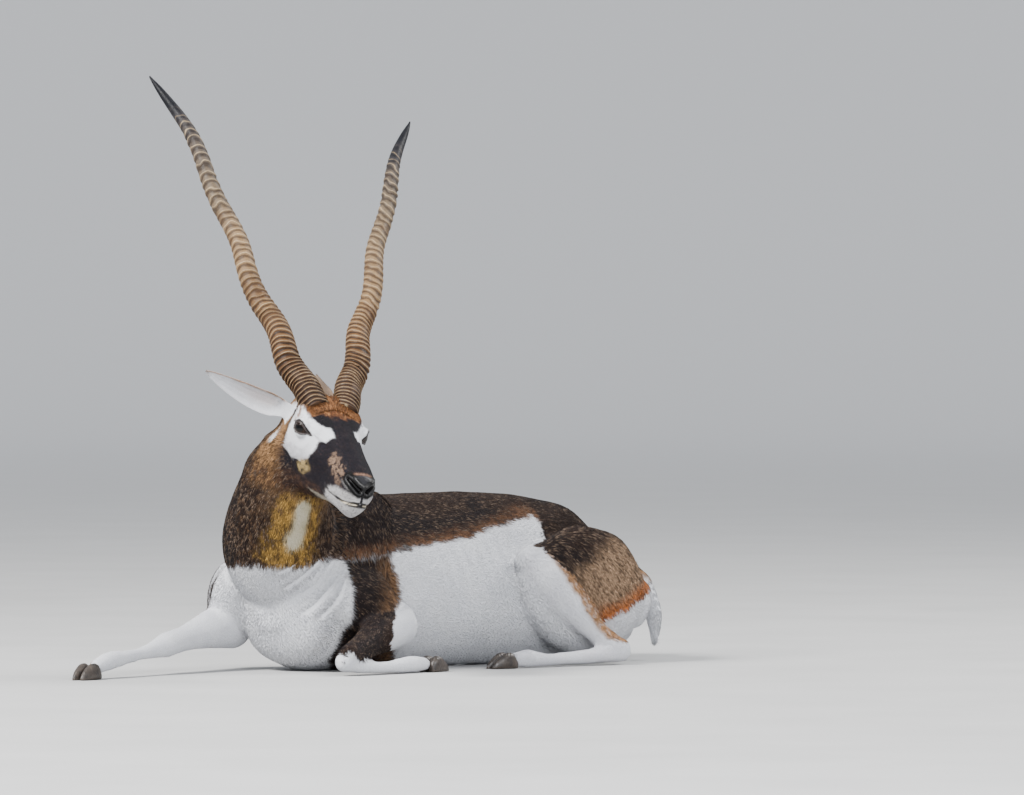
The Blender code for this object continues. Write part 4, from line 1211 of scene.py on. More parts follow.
def face_colour(points):
    """Markings of the head from its own centimetres: mask, eye patches, forehead, muzzle and chin."""
    local = to_head(points)
    x, y, z = local.T
    ay = np.abs(y)
    both = folded(local)
    fuzz = (noise(local, 0.55, 11) - 0.5) * 0.8 + (noise(local, 0.2, 12) - 0.5) * 0.5
    fine = noise(local, 0.16, 13)
    colour = np.repeat(linear(MASK)[None], len(x), 0)
    colour = mixed(colour, MASK_FLECK, 0.22 * ease(0.62, 0.86, fine))
    # nape, cheeks behind the eye and throat
    back = ease(-2.6, -4.6, x + 0.25 * z + fuzz)
    colour = mixed(colour, BEHIND_EYE, back)
    colour = mixed(colour, DARK_WARM, back * ease(0.45, 0.75, noise(local, 0.9, 14)) * 0.75)
    crown = ease(3.4, 4.6, z + fuzz) * ease(-2.5, -4.2, x)
    colour = mixed(colour, CROWN_TAN, crown * (0.45 + 0.4 * fine))
    strip = capsule(both, (-5.9, 6.2, 3.4), (-5.9, 5.9, -2.0), 1.15, 0.65) + fuzz * 0.35
    colour = mixed(colour, CHEEK_STRIP, ease(0.35, -0.25, strip))
    # forehead between and below the horns
    brow = ease(2.9, 1.5, x + 0.30 * ay + fuzz * 1.6) * ease(-3.8, -2.6, x) * ease(3.1, 3.8, z)
    colour = mixed(colour, FOREHEAD, brow * (0.55 + 0.40 * fine))
    colour = mixed(colour, FOREHEAD_TIPS, brow * 0.60 * ease(0.52, 0.80, fine))
    colour = mixed(colour, FOREHEAD_DARK, brow * 0.75 * ease(0.50, 0.72, noise(local, 0.28, 25)))
    # white patch round the eye, ending below the hair at the foot of the horn
    patch = polygon_inside(x, z, EYE_PATCH) + fuzz * 0.28
    patch = ease(0.14, -0.14, patch) * ease(1.55, 1.95, ay + fuzz * 0.2)
    colour = mixed(colour, WHITE, patch)
    smudge = bump(np.c_[x, z], (-1.9, 3.0), (0.95, 0.85)) * ease(0.30, 0.65, noise(local, 0.35, 15))
    colour = mixed(colour, EYE_SMUDGE, patch * np.minimum(1.6 * smudge, 0.85))
    # painted shade: the white patch greys in blotches towards its lower edge
    low_shade = ease(-0.3, -2.6, z + fuzz) * (0.35 + 0.5 * noise(local, 0.5, 26))
    colour = mixed(colour, EYE_PATCH_LOW_SHADE, patch * low_shade)
    specks = ease(0.80, 0.90, noise(local, 0.17, 16)) * bump(np.c_[x, z], (1.2, 3.1), (2.6, 1.4))
    colour = mixed(colour, EYE_SPECKS, patch * specks * 0.8)
    foot = horn_foot(local)
    colour = mixed(colour, HORN_COLLAR, ease(0.75, 0.25, foot + 0.5 * fuzz) * (0.55 + 0.35 * fine))
    # dark spots over the stripe
    spot = capsule(both, (2.2, 2.7, 3.7), (3.7, 2.0, 3.4), 0.95, 0.9)
    colour = mixed(colour, BROW_SPOT, ease(0.15, -0.2, spot + fuzz * 0.2))
    # side of the muzzle, cheek patch and lips
    side = capsule(both, (9.6, 2.6, -0.5), (13.4, 2.5, -1.9), 1.35, 1.5) + fuzz * 0.5
    mottle = 0.55 * noise(local, 0.42, 17) + 0.45 * noise(local, 0.17, 23)
    inside = ease(0.9, -0.8, side)
    colour = mixed(colour, MUZZLE_TAN, inside * ease(0.02, 0.30, mottle - 0.76 + 0.50 * inside) * 0.90)
    cheek = capsule(both, (3.6, 3.9, -3.2), (2.4, 4.0, -3.8), 1.0, 1.1) + fuzz * 0.6
    colour = mixed(colour, CHEEK_PATCH, ease(0.25, -0.45, cheek) * ease(0.25, 0.7, noise(local, 0.5, 18)))
    jaw = ease(-4.6, -6.2, z + fuzz) * ease(9.5, 5.0, x + fuzz)
    colour = mixed(colour, JAW_BROWN, jaw * (0.25 + 0.55 * ease(0.4, 0.7, noise(local, 0.4, 27))))
    under = ease(-6.2, -6.7, z + fuzz * 0.4) * ease(3.0, 5.5, x + fuzz)
    colour = mixed(colour, CHIN_CREAM, under * 0.9)
    lips = ease(-3.0, -3.7, z + 0.28 * (13.2 - x) * (x < 13.2) + fuzz * 0.35) * ease(9.0, 10.6, x + fuzz)
    chin = ease(-4.6, -5.1, z + fuzz * 0.2) * ease(8.2, 9.8, x - 0.5 * (z + 5.5) + fuzz)
    pale = np.maximum(lips, chin)
    colour = mixed(colour, MUZZLE_WHITE, pale)
    grain = ease(0.52, 0.80, noise(local, 0.17, 19)) * pale
    colour = mixed(colour, MUZZLE_GRAIN, grain * 0.62)
    rim = hill(nose_pad(local) - 0.11, 0.09) * ease(-2.4, -1.6, z)
    colour = mixed(colour, NOSE_RIM, rim * (0.35 + 0.45 * noise(local, 0.35, 24)))
    below = hill(nose_pad(local) - 0.18, 0.16) * ease(-1.8, -2.4, z)
    colour = mixed(colour, MUZZLE_WHITE, below)
    # lips' dark line, and a pale strip at its front
    line, share = near_line(both, LIP_LINE, 60)
    wide = 0.26 + 0.20 * ease(0.50, 0.15, share)
    under = z - np.interp(x, [row[0] for row in LIP_LINE[::-1]], [row[2] for row in LIP_LINE[::-1]])
    colour = mixed(colour, LIP_BLACK, ease(1.25, 0.75, line / (wide * (0.75 + 0.45 * (under < 0)))))
    inner = hill(under + 0.16, 0.08) * ease(0.08, 0.18, share) * ease(0.55, 0.40, share)
    colour = mixed(colour, LIP_PALE, inner * (line < 0.5) * 0.9)
    colour = mixed(colour, NOSE, ease(0.05, -0.06, nose_pad(local)))
    # painted shade: the nostrils' pits deepened to near black, over the nose's own black
    slit, _ = near_line(both, NOSTRIL)
    colour = mixed(colour, NOSTRIL_SHADE, ease(1.35, 0.85, slit))
    for sign in (1, -1):
        far, a, b, _ = eye_angles(local, sign)
        edge = opening(a, b)
        wide = 9.0 + 4.0 * (b > 0)
        ring = ease(wide, wide - 5, edge + 3 * (noise(local, 0.2, 20) - 0.5)) * (far < 2.6)
        colour = mixed(colour, LID, ring)
        tear, along = near_line(local, np.array(TEAR_LINE) * (1, sign, 1), 30)
        colour = mixed(colour, TEAR_STAIN, ease(1.0, 0.45, tear / (0.46 - 0.28 * along)))
    return colour


def horn_foot(local):
    """Centimetres from head points to the nearer horn's side, measured near its foot."""
    best = np.full(len(local), 1e9)
    for side in (1, -1):
        low, high = horn_centre(np.array([0.0, 0.08]), side) * 100
        axis = unit(high - low)
        rel = local - low
        height = rel @ axis
        wide = np.linalg.norm(rel - height[:, None] * axis, axis=1) - HORN_BASE_RADIUS * 100
        best = np.minimum(best, np.where(np.abs(height) < 4, wide, 1e9))
    return best


def nose_pad(local):
    """How far outside the naked nose a head point lies, in shares of its size; negative on it."""
    x, y, z = local.T
    up = z + 1.75
    up = up / np.where(up > 0, 1.28, 1.05)
    pad = np.sqrt(((x - 16.8) / 3.0) ** 2 + (y / 2.6) ** 2 + up**2) - 1
    strip = np.maximum(np.abs(y) / 0.22 - 1, np.maximum(-4.5 - z, 16.0 - x))
    return np.minimum(pad, strip)


def ear_colour(points, normals, word):
    """White cup with a pink floor, a tan outer edge and tan back."""
    base, tip, mouth = (np.array(row) for row in EARS[word])
    local = to_head(points)
    axis = (tip - base) / np.linalg.norm(tip - base)
    mouth = unit(mouth - (mouth @ axis) * axis)
    rel = local - base
    f = rel @ axis / np.linalg.norm(tip - base)
    depth = rel @ mouth
    upper = rel @ np.cross(mouth, axis) * (-1 if word == "right" else 1)
    colour = np.repeat(linear(WHITE)[None], len(f), 0)
    tint = noise(local, 0.8, 21)
    colour = mixed(colour, EAR_SHADE, 0.5 * tint)
    facing = normals @ HEAD_TURN @ mouth
    floor = 0.40 * ease(-0.7, -1.4, depth) * ease(0.9, 0.2, f) * ease(0, 0.3, facing)
    colour = mixed(colour, EAR_PINK, floor)
    rim = ease(0.35, 0.85, upper / np.maximum(1.9 * (1 - f) + 0.25, 0.3) + 0.3 * (tint - 0.5))
    colour = mixed(colour, EAR_RIM, rim * ease(0.0, 0.15, f) * (0.55 + 0.35 * tint))
    outer = ease(-0.1, -0.5, facing)
    colour = mixed(colour, EAR_BACK, outer * 0.85)
    colour = mixed(colour, EAR_TIP, ease(0.93, 1.0, f) * 0.7)
    if word == "left":
        return colour
    root = ease(-6.4, -5.5, local[:, 0] + 0.8 * (tint - 0.5)) * (0.35 + 0.65 * noise(local, 0.3, 28))
    return mixed(colour, BEHIND_EYE, root * ease(3.4, 4.4, local[:, 2] + 0.8 * (tint - 0.5)))


# heights of the white flank's upper edge along the trunk
FLANK_ALONG = (-0.34, -0.18, -0.109, -0.076, -0.033, 0.031, 0.134, 0.224, 0.30, 0.36)
FLANK_HEIGHT = (0.11, 0.17, 0.240, 0.238, 0.226, 0.212, 0.198, 0.192, 0.184, 0.176)
# lower edge of the thigh's dark coat
THIGH_ALONG = (-0.350, -0.316, -0.250, -0.189, -0.167, -0.104, -0.050)
THIGH_HEIGHT = (0.128, 0.112, 0.082, 0.068, 0.084, 0.150, 0.200)
# the dark band down the shoulder: its front and rear edge at each height, across the line of sight
SHOULDER_HEIGHT = (0.020, 0.050, 0.087, 0.120, 0.150, 0.180)
SHOULDER_FRONT = (-0.195, -0.180, -0.160, -0.158, -0.163, -0.176)
SHOULDER_REAR = (-0.096, -0.094, -0.090, -0.086, -0.088, -0.098)
SIGHT = math.radians(35.0)


def dark_coat(points, fine):
    """Black-brown with a scatter of paler hairs."""
    colour = np.repeat(linear(DARK)[None], len(points), 0)
    warm = noise(points, 0.05, 41)
    colour = mixed(colour, DARK_WARM, 0.55 * ease(0.35, 0.75, warm))
    return mixed(colour, DARK_FLECK, 0.20 * ease(0.62, 0.84, fine))


def shaded_body(points, normals, label):
    """Markings of trunk, neck and legs from the straightened body's along, left and up."""
    straight = to_straight(points)
    t, left, z = straight.T
    al = np.abs(left)
    wide = noise(points, 0.022, 31) - 0.5
    small = noise(points, 0.0045, 35)
    fuzz = wide * 0.009 + (noise(points, 0.006, 32) - 0.5) * 0.007
    fine = noise(points, 0.0042, 33)
    kind = KINDS[label]
    side = FLANKS[label]
    dark = dark_coat(points, fine)
    pale = np.repeat(linear(WHITE)[None], len(t), 0)
    # white flank and belly under a thin rusty border
    height = z - np.interp(t, FLANK_ALONG, FLANK_HEIGHT) + fuzz
    worn = ease(0.026 + 0.020 * wide, 0.002, height) * (0.25 + 0.75 * ease(0.30, 0.62, small))
    colour = mixed(dark, RUST, worn * 0.85)
    colour = mixed(colour, WHITE, ease(0.003, -0.005, height))
    # how far each point, folded to the left side, lies to the right in the photograph's view
    leftward = to_world(np.stack([t, al, z], 1))
    across = leftward[:, 1] * math.sin(SIGHT) - leftward[:, 0] * math.cos(SIGHT)
    # haunch: dark, greying to tan, an orange band, then the white rump
    rear = (kind == "haunch") | ((kind == "trunk") & (t < -0.12) & ((al > 0.02) | (t < -0.2)))
    over = z - np.interp(t, THIGH_ALONG, THIGH_HEIGHT) + fuzz
    haunch = dark.copy()
    slope = 0.60 * (across - 0.197) - 0.80 * (z - 0.216) + 0.030 * wide
    fade = np.maximum(ease(0.026, 0.080, slope), 0.7 * ease(0.014, 0.002, over))
    haunch = mixed(haunch, GREY_TAN, fade * (0.35 + 0.65 * ease(0.26, 0.56, small)))
    glow = ease(0.036, 0.006, over) * ease(0.215, 0.250, across)
    haunch = mixed(haunch, ORANGE, glow * (0.45 + 0.45 * ease(0.2, 0.6, small)))
    haunch = mixed(haunch, WHITE, ease(0.003, -0.005, over))
    colour = np.where(rear[:, None], haunch, colour)
    # hind shank and cannon: white, with an orange line down the back of the shank
    behind = np.interp(z, (0.03, 0.045, 0.09, 0.18), (-0.26, -0.196, -0.154, -0.084)) - t + fuzz
    leg = mixed(pale, LEG_SHADE, 0.6 * noise(points, 0.02, 36))
    line = mixed(leg, SHANK_LINE, ease(-0.003, 0.010, behind) * (0.70 + 0.30 * ease(0.2, 0.6, small)))
    colour = np.where((kind == "shank")[:, None], line, colour)
    colour = np.where((kind == "hind")[:, None], leg, colour)
    # neck, throat and chest
    throat = points[:, 2] - np.interp(points[:, 0], (0.30, 0.38, 0.44), (0.182, 0.170, 0.172)) + fuzz * 1.3
    neck = mixed(dark, NECK_FLECK, 0.30 * ease(0.52, 0.78, fine))
    near = ease(0.130, 0.030, np.linalg.norm(points - np.array((0.388, 0.196, 0.330)), axis=1) + wide * 0.05)
    neck = mixed(neck, NECK_WORN, near * (0.30 + 0.70 * ease(0.30, 0.62, noise(points, 0.004, 37))))
    blurred = wide * 0.7 + (noise(points, 0.006, 38) - 0.5) * 0.9
    patch = capsule(points, (0.406, 0.178, 0.270), (0.406, 0.134, 0.196), 0.017, 0.019) + blurred
    strands = 0.25 + 0.75 * ease(0.35, 0.62, noise(points, 0.006, 39))
    neck = mixed(neck, OCHRE, ease(1.9, 0.5, patch) * strands)
    cream = capsule(points, (0.406, 0.1735, 0.268), (0.406, 0.141, 0.213), 0.010, 0.012) + blurred * 0.6
    neck = mixed(neck, CREAM, ease(0.75, -0.20, cream))
    neck = mixed(neck, RUST, ease(0.010, 0.001, throat) * 0.40 * ease(0.3, 0.6, small))
    neck = mixed(neck, WHITE, ease(0.003, -0.005, throat))
    front = np.maximum((kind == "neck").astype(float), ease(0.29, 0.33, t) * (kind == "trunk"))[:, None]
    colour = colour * (1 - front) + neck * front
    # the band down the shoulder, drawn on the left and mirrored to the right, where only its outside is dark
    lead = across - np.interp(z, SHOULDER_HEIGHT, SHOULDER_FRONT) + fuzz * 0.8
    lag = np.interp(z, SHOULDER_HEIGHT, SHOULDER_REAR) - across + fuzz * 0.8
    lateral = np.stack([-np.sin(t / BEND_RADIUS), np.cos(t / BEND_RADIUS), 0 * t], 1)
    outside = (normals * lateral).sum(1) * np.sign(left)
    band = ease(-0.004, 0.004, np.minimum(lead, lag + 0.4 * (z > 0.19)))
    reach = (t > 0.15) & np.isin(kind, ("trunk", "blade", "arm", "neck")) & (z < 0.21)
    worn = ease(0.038, 0.004, lag) * (0.25 + 0.75 * ease(0.30, 0.60, small)) * ease(0.20, 0.16, z)
    shoulder = mixed(dark, SHOULDER_WORN, 0.85 * worn)
    on_left = reach & (left > 0) & (t > 0.17)
    low = (ease(0.006, -0.006, np.where(front[:, 0] > 0.5, throat, height)) * on_left)[:, None]
    colour = colour * (1 - low) + (shoulder * band[:, None] + pale * (1 - band[:, None])) * low
    right = reach & (left < 0) & ((kind == "blade") | (kind == "arm"))
    hidden = ease(0.35, 0.62, outside + wide * 0.3) * right
    colour = np.where((right & (z < 0.17))[:, None], pale, colour)
    colour = colour * (1 - hidden[:, None]) + dark * hidden[:, None]
    # lower forelegs: dark outside, white inside, with a thin tan border
    for word, turn in (("left", -1.0), ("right", 1.0)):
        limb = np.isin(kind, ("forearm", "cannon")) & (side == word)
        stripe = turn * (normals @ np.array([-0.35, 0.94, 0.0])) + wide * 0.45
        if word == "left":
            elbow = 5 * ease(0.004, -0.004, lag) * (kind == "forearm")
            stripe = stripe - 1.0 + 2.8 * (kind == "cannon") + elbow
        else:
            stripe = stripe + 0.55
        lower = mixed(dark, TAN, ease(-0.30, 0.0, stripe))
        lower = mixed(lower, WHITE, ease(-0.12, 0.10, stripe))
        colour = np.where(limb[:, None], lower, colour)
    # tail: tan above, white below
    tail = mixed(pale, TAN, ease(0.125, 0.145, z + fuzz))
    tail = mixed(tail, DARK_WARM, ease(0.140, 0.155, z + fuzz) * 0.8)
    colour = np.where((kind == "tail")[:, None], tail, colour)
    # painted shade darkens the folds of the white chest
    for _, broad, *line in CREASES:
        far, _ = near_line(points, line, 24)
        fold = hill(far, 0.75 * broad) * ease(0.2, 0.6, colour.mean(1))
        colour = mixed(colour, FOLD_SHADE, 0.80 * fold)
    # soft shade in the white hair
    white = ease(0.30, 0.60, colour.mean(1))
    return mixed(colour, WHITE_SHADE, white * 0.35 * noise(points, 0.018, 40))


def coat_colour(points, normals, label):
    """The body's colour, with the face's faded in over the head and the ears' own."""
    colour = shaded_body(points, normals, label)
    local = to_head(points)
    face = label == NAMES.index("head")
    mix = ease(-8.6, -7.0, local[:, 0]) * ease(-9.6, -7.4, local[:, 2])
    mix = mix * (face | (np.abs(local[:, 1]) < 7.5))
    use = mix > 0
    if use.any():
        made = face_colour(points[use])
        colour[use] = colour[use] * (1 - mix[use, None]) + made * mix[use, None]
    for word in EARS:
        here = label == NAMES.index("ear_" + word)
        if here.any():
            colour[here] = ear_colour(points[here], normals[here], word)
    return colour


def bareness(points):
    """1 on the naked nose, the lips' line and the lids' edges, 0 in the coat."""
    local = to_head(points)
    bare = ease(0.05, -0.08, nose_pad(local))
    both = folded(local)
    line, _ = near_line(both, LIP_LINE, 60)
    bare = np.maximum(bare, ease(0.44, 0.30, line))
    for sign in (1, -1):
        far, a, b, _ = eye_angles(local, sign)
        bare = np.maximum(bare, ease(5.0, 2.0, opening(a, b)) * (far < 2.3))
    slit, _ = near_line(both, NOSTRIL)
    return np.maximum(bare, ease(0.9, 0.5, slit))


# The coat: each tuft is a thin roof of four points, lying along the body.

# hair length, width and rise of the middle, in millimetres, and tufts for each square centimetre
TUFTS = {
    "trunk": (10.0, 0.85, 0.55, 26.0),
    "neck": (11.0, 0.85, 0.70, 30.0),
    "blade": (10.0, 0.85, 0.60, 28.0),
    "arm": (9.0, 0.80, 0.50, 28.0),
    "haunch": (10.0, 0.85, 0.60, 28.0),
    "forearm": (6.5, 0.70, 0.40, 36.0),
    "shank": (7.0, 0.70, 0.42, 34.0),
    "cannon": (5.0, 0.60, 0.32, 42.0),
    "hind": (5.0, 0.60, 0.32, 42.0),
    "tail": (15.0, 0.90, 0.90, 50.0),
    "head": (4.2, 0.50, 0.28, 72.0),
    "ear": (4.5, 0.50, 0.28, 60.0),
}
DENSITY = 1.0
MOST_TUFTS = 49000
ATLAS_COLUMNS = 5


def atlas(label, share, angle):
    """Place on the unwrap: each tube has a cell, with its length across and its angle up."""
    rows = -(-len(NAMES) // ATLAS_COLUMNS)
    column = label % ATLAS_COLUMNS
    row = label // ATLAS_COLUMNS
    u = (column + 0.04 + 0.92 * share) / ATLAS_COLUMNS
    v = (row + 0.04 + 0.92 * (angle / (2 * math.pi) + 0.5)) / rows
    return u, v


def hollow_along(points, normals, edges, lie):
    """How strongly the skin curves up ahead of each hair. It is the normal's fall along each edge over the
    edge's length, weighted by the square of the edge's share in the hair's way, and kept to hollows."""
    count = len(points)
    step = points[edges[:, 1]] - points[edges[:, 0]]
    reach = np.maximum((step**2).sum(1), 1e-10)
    curve = -((normals[edges[:, 1]] - normals[edges[:, 0]]) * step).sum(1) / reach
    total = np.zeros(count)
    weight = np.full(count, 1e-6)
    for end in (0, 1):
        share = (step * lie[edges[:, end]]).sum(1) ** 2 / reach
        total += np.bincount(edges[:, end], share * curve, count)
        weight += np.bincount(edges[:, end], share, count)
    hollow = np.clip(total / weight, 0, 140)
    for _ in range(3):
        hollow = 0.5 * hollow + 0.5 * neighbour_mean(edges, hollow[:, None], count)[:, 0]
    return hollow


def coat_map(obj):
    """Each skin point's tube, and the coat's lie and the hair's sizes, both evened out across joins."""
    points = points_of(obj)
    normals = normals_of(obj)
    edges = edges_of(obj)
    label, share, angle, along = field(points)
    lie = coat_lie(points, normals, label, along)
    sizes = np.array([TUFTS[kind] for kind in KINDS])[label]
    for _ in range(12):
        lie = lie + 1.5 * neighbour_mean(edges, lie, len(points))
        lie = unit(lie - (lie * normals).sum(-1, keepdims=True) * normals)
        sizes = 0.5 * sizes + 0.5 * neighbour_mean(edges, sizes, len(points))
    sizes = np.c_[sizes, hollow_along(points, normals, edges, lie)]
    return dict(points=points, normals=normals, label=label, share=share, angle=angle, lie=lie, sizes=sizes)


def scatter(obj, chart, rng):
    """Random places on the skin, as many for each area as its tube asks for, with the map's values there."""
    triangles = triangles_of(obj)
    corner = chart["points"][triangles]
    cross = np.cross(corner[:, 1] - corner[:, 0], corner[:, 2] - corner[:, 0])
    area = np.linalg.norm(cross, axis=1) / 2
    per = chart["sizes"][triangles, 3].mean(1) * 1e4 * DENSITY * (corner[:, :, 2].max(1) > 0.0015)
    count = np.floor(area * per + rng.random(len(area))).astype(int)
    pick = triangles[np.repeat(np.arange(len(triangles)), count)]
    a, b = rng.random((2, len(pick)))
    over = a + b > 1
    a[over] = 1 - a[over]
    b[over] = 1 - b[over]
    weights = np.stack([1 - a - b, a, b], 1)[..., None]
    found = {name: chart[name][pick[:, 0]] for name in ("label", "share", "angle")}
    for name in ("points", "normals", "lie", "sizes"):
        found[name] = (chart[name][pick] * weights).sum(1)
    found["normals"] = unit(found["normals"])
    return found


def tuft_arrays(at, up, lie, sizes, hollow, rng):
    """Four points a tuft: sunk root, left and right of its raised middle, and a tip just over the skin.
    In a hollow both are lifted by half its curvature times the square of their distance from the root."""
    length, width, rise = sizes
    aside = np.cross(up, lie)
    sway = (rng.random(len(at)) - 0.5)[:, None] * 0.35
    lie = unit(lie - (lie * up).sum(-1, keepdims=True) * up + aside * sway)
    aside = np.cross(up, lie)
    root = at - up * 0.0010
    lift = hollow * length**2 / 2
    middle = at + lie * (0.42 * length)[:, None] + up * (rise + 0.42**2 * lift)[:, None]
    half = aside * (width / 2)[:, None]
    tip = at + lie * length[:, None] + up * (lift + rise * (0.35 + 0.75 * rng.random(len(at))))[:, None]
    return np.stack([root, middle - half, middle + half, tip], 1)


TUFT_FACES = np.array([[0, 1, 2], [3, 2, 1], [0, 3, 1], [0, 2, 3]])
# painted shade along each tuft, one factor for each of its four points: darkest at the sunk root, a little
# painted light at the tip
TUFT_SHADE = np.array([0.66, 0.96, 0.96, 1.06])
PATCH = np.array([[0.0, 0.5], [0.4, 0.0], [0.4, 1.0], [1.0, 0.5]]) * 0.003 - 0.0015


def make_tufts(name, spots, colours, uv, material):
    """One mesh of tufts with their colours and a small patch each on the unwrap."""
    count = len(spots)
    faces = (TUFT_FACES[None] + 4 * np.arange(count)[:, None, None]).reshape(-1, 3)
    obj = mesh_object(name, spots.reshape(-1, 3), faces)
    # painted shade: each tuft darker at its sunk root and a little lighter at its tip, less so in white hair
    soft = np.repeat(1 - 0.65 * ease(0.25, 0.50, colours.mean(1)), 4)
    shade = 1 - soft * (1 - np.tile(TUFT_SHADE, count))
    set_colour(obj, np.clip(np.repeat(colours, 4, 0) * shade[:, None], 0, 1))
    set_uv(obj, np.repeat(uv, 12, 0) + PATCH[np.tile(TUFT_FACES.ravel(), count)])
    obj.data.materials.append(material)
    return obj


def set_skin_uv(obj, label, share, angle):
    """The skin's own unwrap: each face lies in the cell of its first corner's tube."""
    places = np.stack(atlas(label, share, angle), 1)
    set_uv(obj, places[read_rows(obj.data.loops, "vertex_index", 1, np.int32)[:, 0]])


# Materials.


class Nodes:
    """Small helper that adds nodes to a material and links them by name."""

    def __init__(self, name):
        """A new material with its shader."""
        self.material = bpy.data.materials.new(name)
        self.material.use_nodes = True
        self.tree = self.material.node_tree
        self.shader = self.tree.nodes["Principled BSDF"]

    def add(self, kind, **values):
        """A new node; each value is a setting of the node or else one of its inputs."""
        node = self.tree.nodes.new(kind)
        for key, value in values.items():
            if hasattr(node, key):
                setattr(node, key, value)
            else:
                node.inputs[key.replace("_", " ")].default_value = value
        return node

    def feed(self, value, socket):
        """Links a node's output to the socket, or writes a plain value to it."""
        if isinstance(value, bpy.types.NodeSocket):
            self.tree.links.new(value, socket)
        else:
            socket.default_value = value

    def give(self, name, value):
        """Feeds one of the shader's inputs."""
        self.feed(value, self.shader.inputs[name])

    def noise(self, scale, detail=4.0, rough=0.55):
        """Grain at so many spots to a metre."""
        where = self.add("ShaderNodeTexCoord").outputs["Object"]
        node = self.add("ShaderNodeTexNoise", Scale=scale, Detail=detail, Roughness=rough)
        self.feed(where, node.inputs["Vector"])
        return node.outputs["Fac"]

    def ramp(self, source, stops):
        """The source turned into colours by stops, each a place and a colour."""
        node = self.add("ShaderNodeValToRGB")
        ramp = node.color_ramp
        while len(ramp.elements) < len(stops):
            ramp.elements.new(0.5)
        for element, (at, colour) in zip(ramp.elements, stops):
            element.position = at
            element.color = (*colour, 1.0)
        self.feed(source, node.inputs["Fac"])
        return node.outputs["Color"]

    def greys(self, source, *stops):
        """The source turned into greys by stops, each a place and a value."""
        return self.ramp(source, [(at, (value, value, value)) for at, value in stops])

    def mix(self, a, b, share, kind="MIX"):
        """Two colours mixed by a share."""
        node = self.add("ShaderNodeMix", data_type="RGBA", blend_type=kind)
        for value, socket in ((share, node.inputs[0]), (a, node.inputs[6]), (b, node.inputs[7])):
            self.feed(value, socket)
        return node.outputs[2]

    def bumps(self, *layers):
        """Bump nodes in a chain, each a height, a strength and a distance."""
        last = None
        for height, strength, distance in layers:
            node = self.add("ShaderNodeBump", Strength=strength, Distance=distance)
            self.feed(height, node.inputs["Height"])
            if last:
                self.feed(last, node.inputs["Normal"])
            last = node.outputs["Normal"]
        self.feed(last, self.shader.inputs["Normal"])

    def attribute(self, name):
        """Reads an attribute of the mesh."""
        return self.add("ShaderNodeAttribute", attribute_name=name)


def coat_material():
    """Tufts: the coat's colour broken up from hair to hair, with a soft sheen."""
    made = Nodes("coat_hair")
    colour = made.attribute("Coat").outputs["Color"]
    tone = made.greys(made.noise(900.0, 2.0), (0.30, 0.74), (0.72, 1.0))
    made.give("Base Color", made.mix(colour, tone, 1.0, "MULTIPLY"))
    rough = made.greys(made.noise(120.0), (0.2, 0.52), (0.8, 0.70))
    made.give("Roughness", rough)
    made.give("Specular IOR Level", 0.14)
    made.bumps((made.noise(2200.0, 2.0), 0.25, 0.0004))
    return made.material


def skin_material():
    """Short flat hair on the skin, and the wet, pebbled nose, lips and lids where it is bare."""
    made = Nodes("coat_skin")
    colour = made.attribute("Coat").outputs["Color"]
    bare = made.attribute("Bare").outputs["Fac"]
    tone = made.greys(made.noise(1100.0, 3.0), (0.32, 0.62), (0.70, 1.0))
    haired = made.mix(colour, tone, 1.0, "MULTIPLY")
    made.give("Base Color", made.mix(haired, colour, bare))
    rough = made.greys(bare, (0.0, 0.72), (1.0, 0.42))
    fine = made.greys(made.noise(700.0), (0.2, 0.85), (0.8, 1.0))
    made.give("Roughness", made.mix(rough, fine, 1.0, "MULTIPLY"))
    shine = made.greys(bare, (0.0, 0.14), (1.0, 0.26))
    made.give("Specular IOR Level", shine)
    pebble = made.add("ShaderNodeTexVoronoi", Scale=900.0)
    made.feed(made.add("ShaderNodeTexCoord").outputs["Object"], pebble.inputs["Vector"])
    pebbles = made.mix((0.5, 0.5, 0.5, 1.0), pebble.outputs["Distance"], bare)
    made.bumps((made.noise(1500.0, 3.0), 0.35, 0.0006), (pebbles, 0.35, 0.0005))
    return made.material


def horn_material():
    """Ridged horn: attribute colour with fine lengthwise fibres, darker in the grooves."""
    made = Nodes("horn_sheath")
    colour = made.attribute("Coat").outputs["Color"]
    streak = made.greys(made.noise(420.0, 5.0, 0.65), (0.28, 0.55), (0.70, 1.08))
    made.give("Base Color", made.mix(colour, streak, 0.85, "MULTIPLY"))
    rough = made.greys(made.noise(180.0), (0.25, 0.38), (0.75, 0.62))
    made.give("Roughness", rough)
    made.give("Specular IOR Level", 0.16)
    made.bumps((made.noise(600.0, 5.0), 0.45, 0.0012), (made.noise(1800.0, 2.0), 0.20, 0.0004))
    return made.material


def hoof_material():
    """Dark horn with mottled tone, a little glossy."""
    made = Nodes("hoof_horn")
    colour = made.attribute("Coat").outputs["Color"]
    tone = made.greys(made.noise(260.0, 5.0), (0.25, 0.60), (0.75, 1.15))
    made.give("Base Color", made.mix(colour, tone, 1.0, "MULTIPLY"))
    rough = made.greys(made.noise(150.0), (0.25, 0.30), (0.75, 0.50))
    made.give("Roughness", rough)
    made.bumps((made.noise(500.0, 4.0), 0.25, 0.0006))
    return made.material


def eye_material():
    """Dark brown iris with a level black pupil, under a clear wet coat."""
    made = Nodes("eye_ball")
    colour = made.attribute("Coat").outputs["Color"]
    tone = made.greys(made.noise(900.0, 3.0), (0.3, 0.75), (0.7, 1.1))
    made.give("Base Color", made.mix(colour, tone, 1.0, "MULTIPLY"))
    rough = made.greys(made.noise(300.0), (0.3, 0.10), (0.7, 0.16))
    made.give("Roughness", rough)
    made.give("Specular IOR Level", 0.12)
    made.give("Coat Weight", 0.26)
    made.give("Coat Roughness", 0.03)
    return made.material


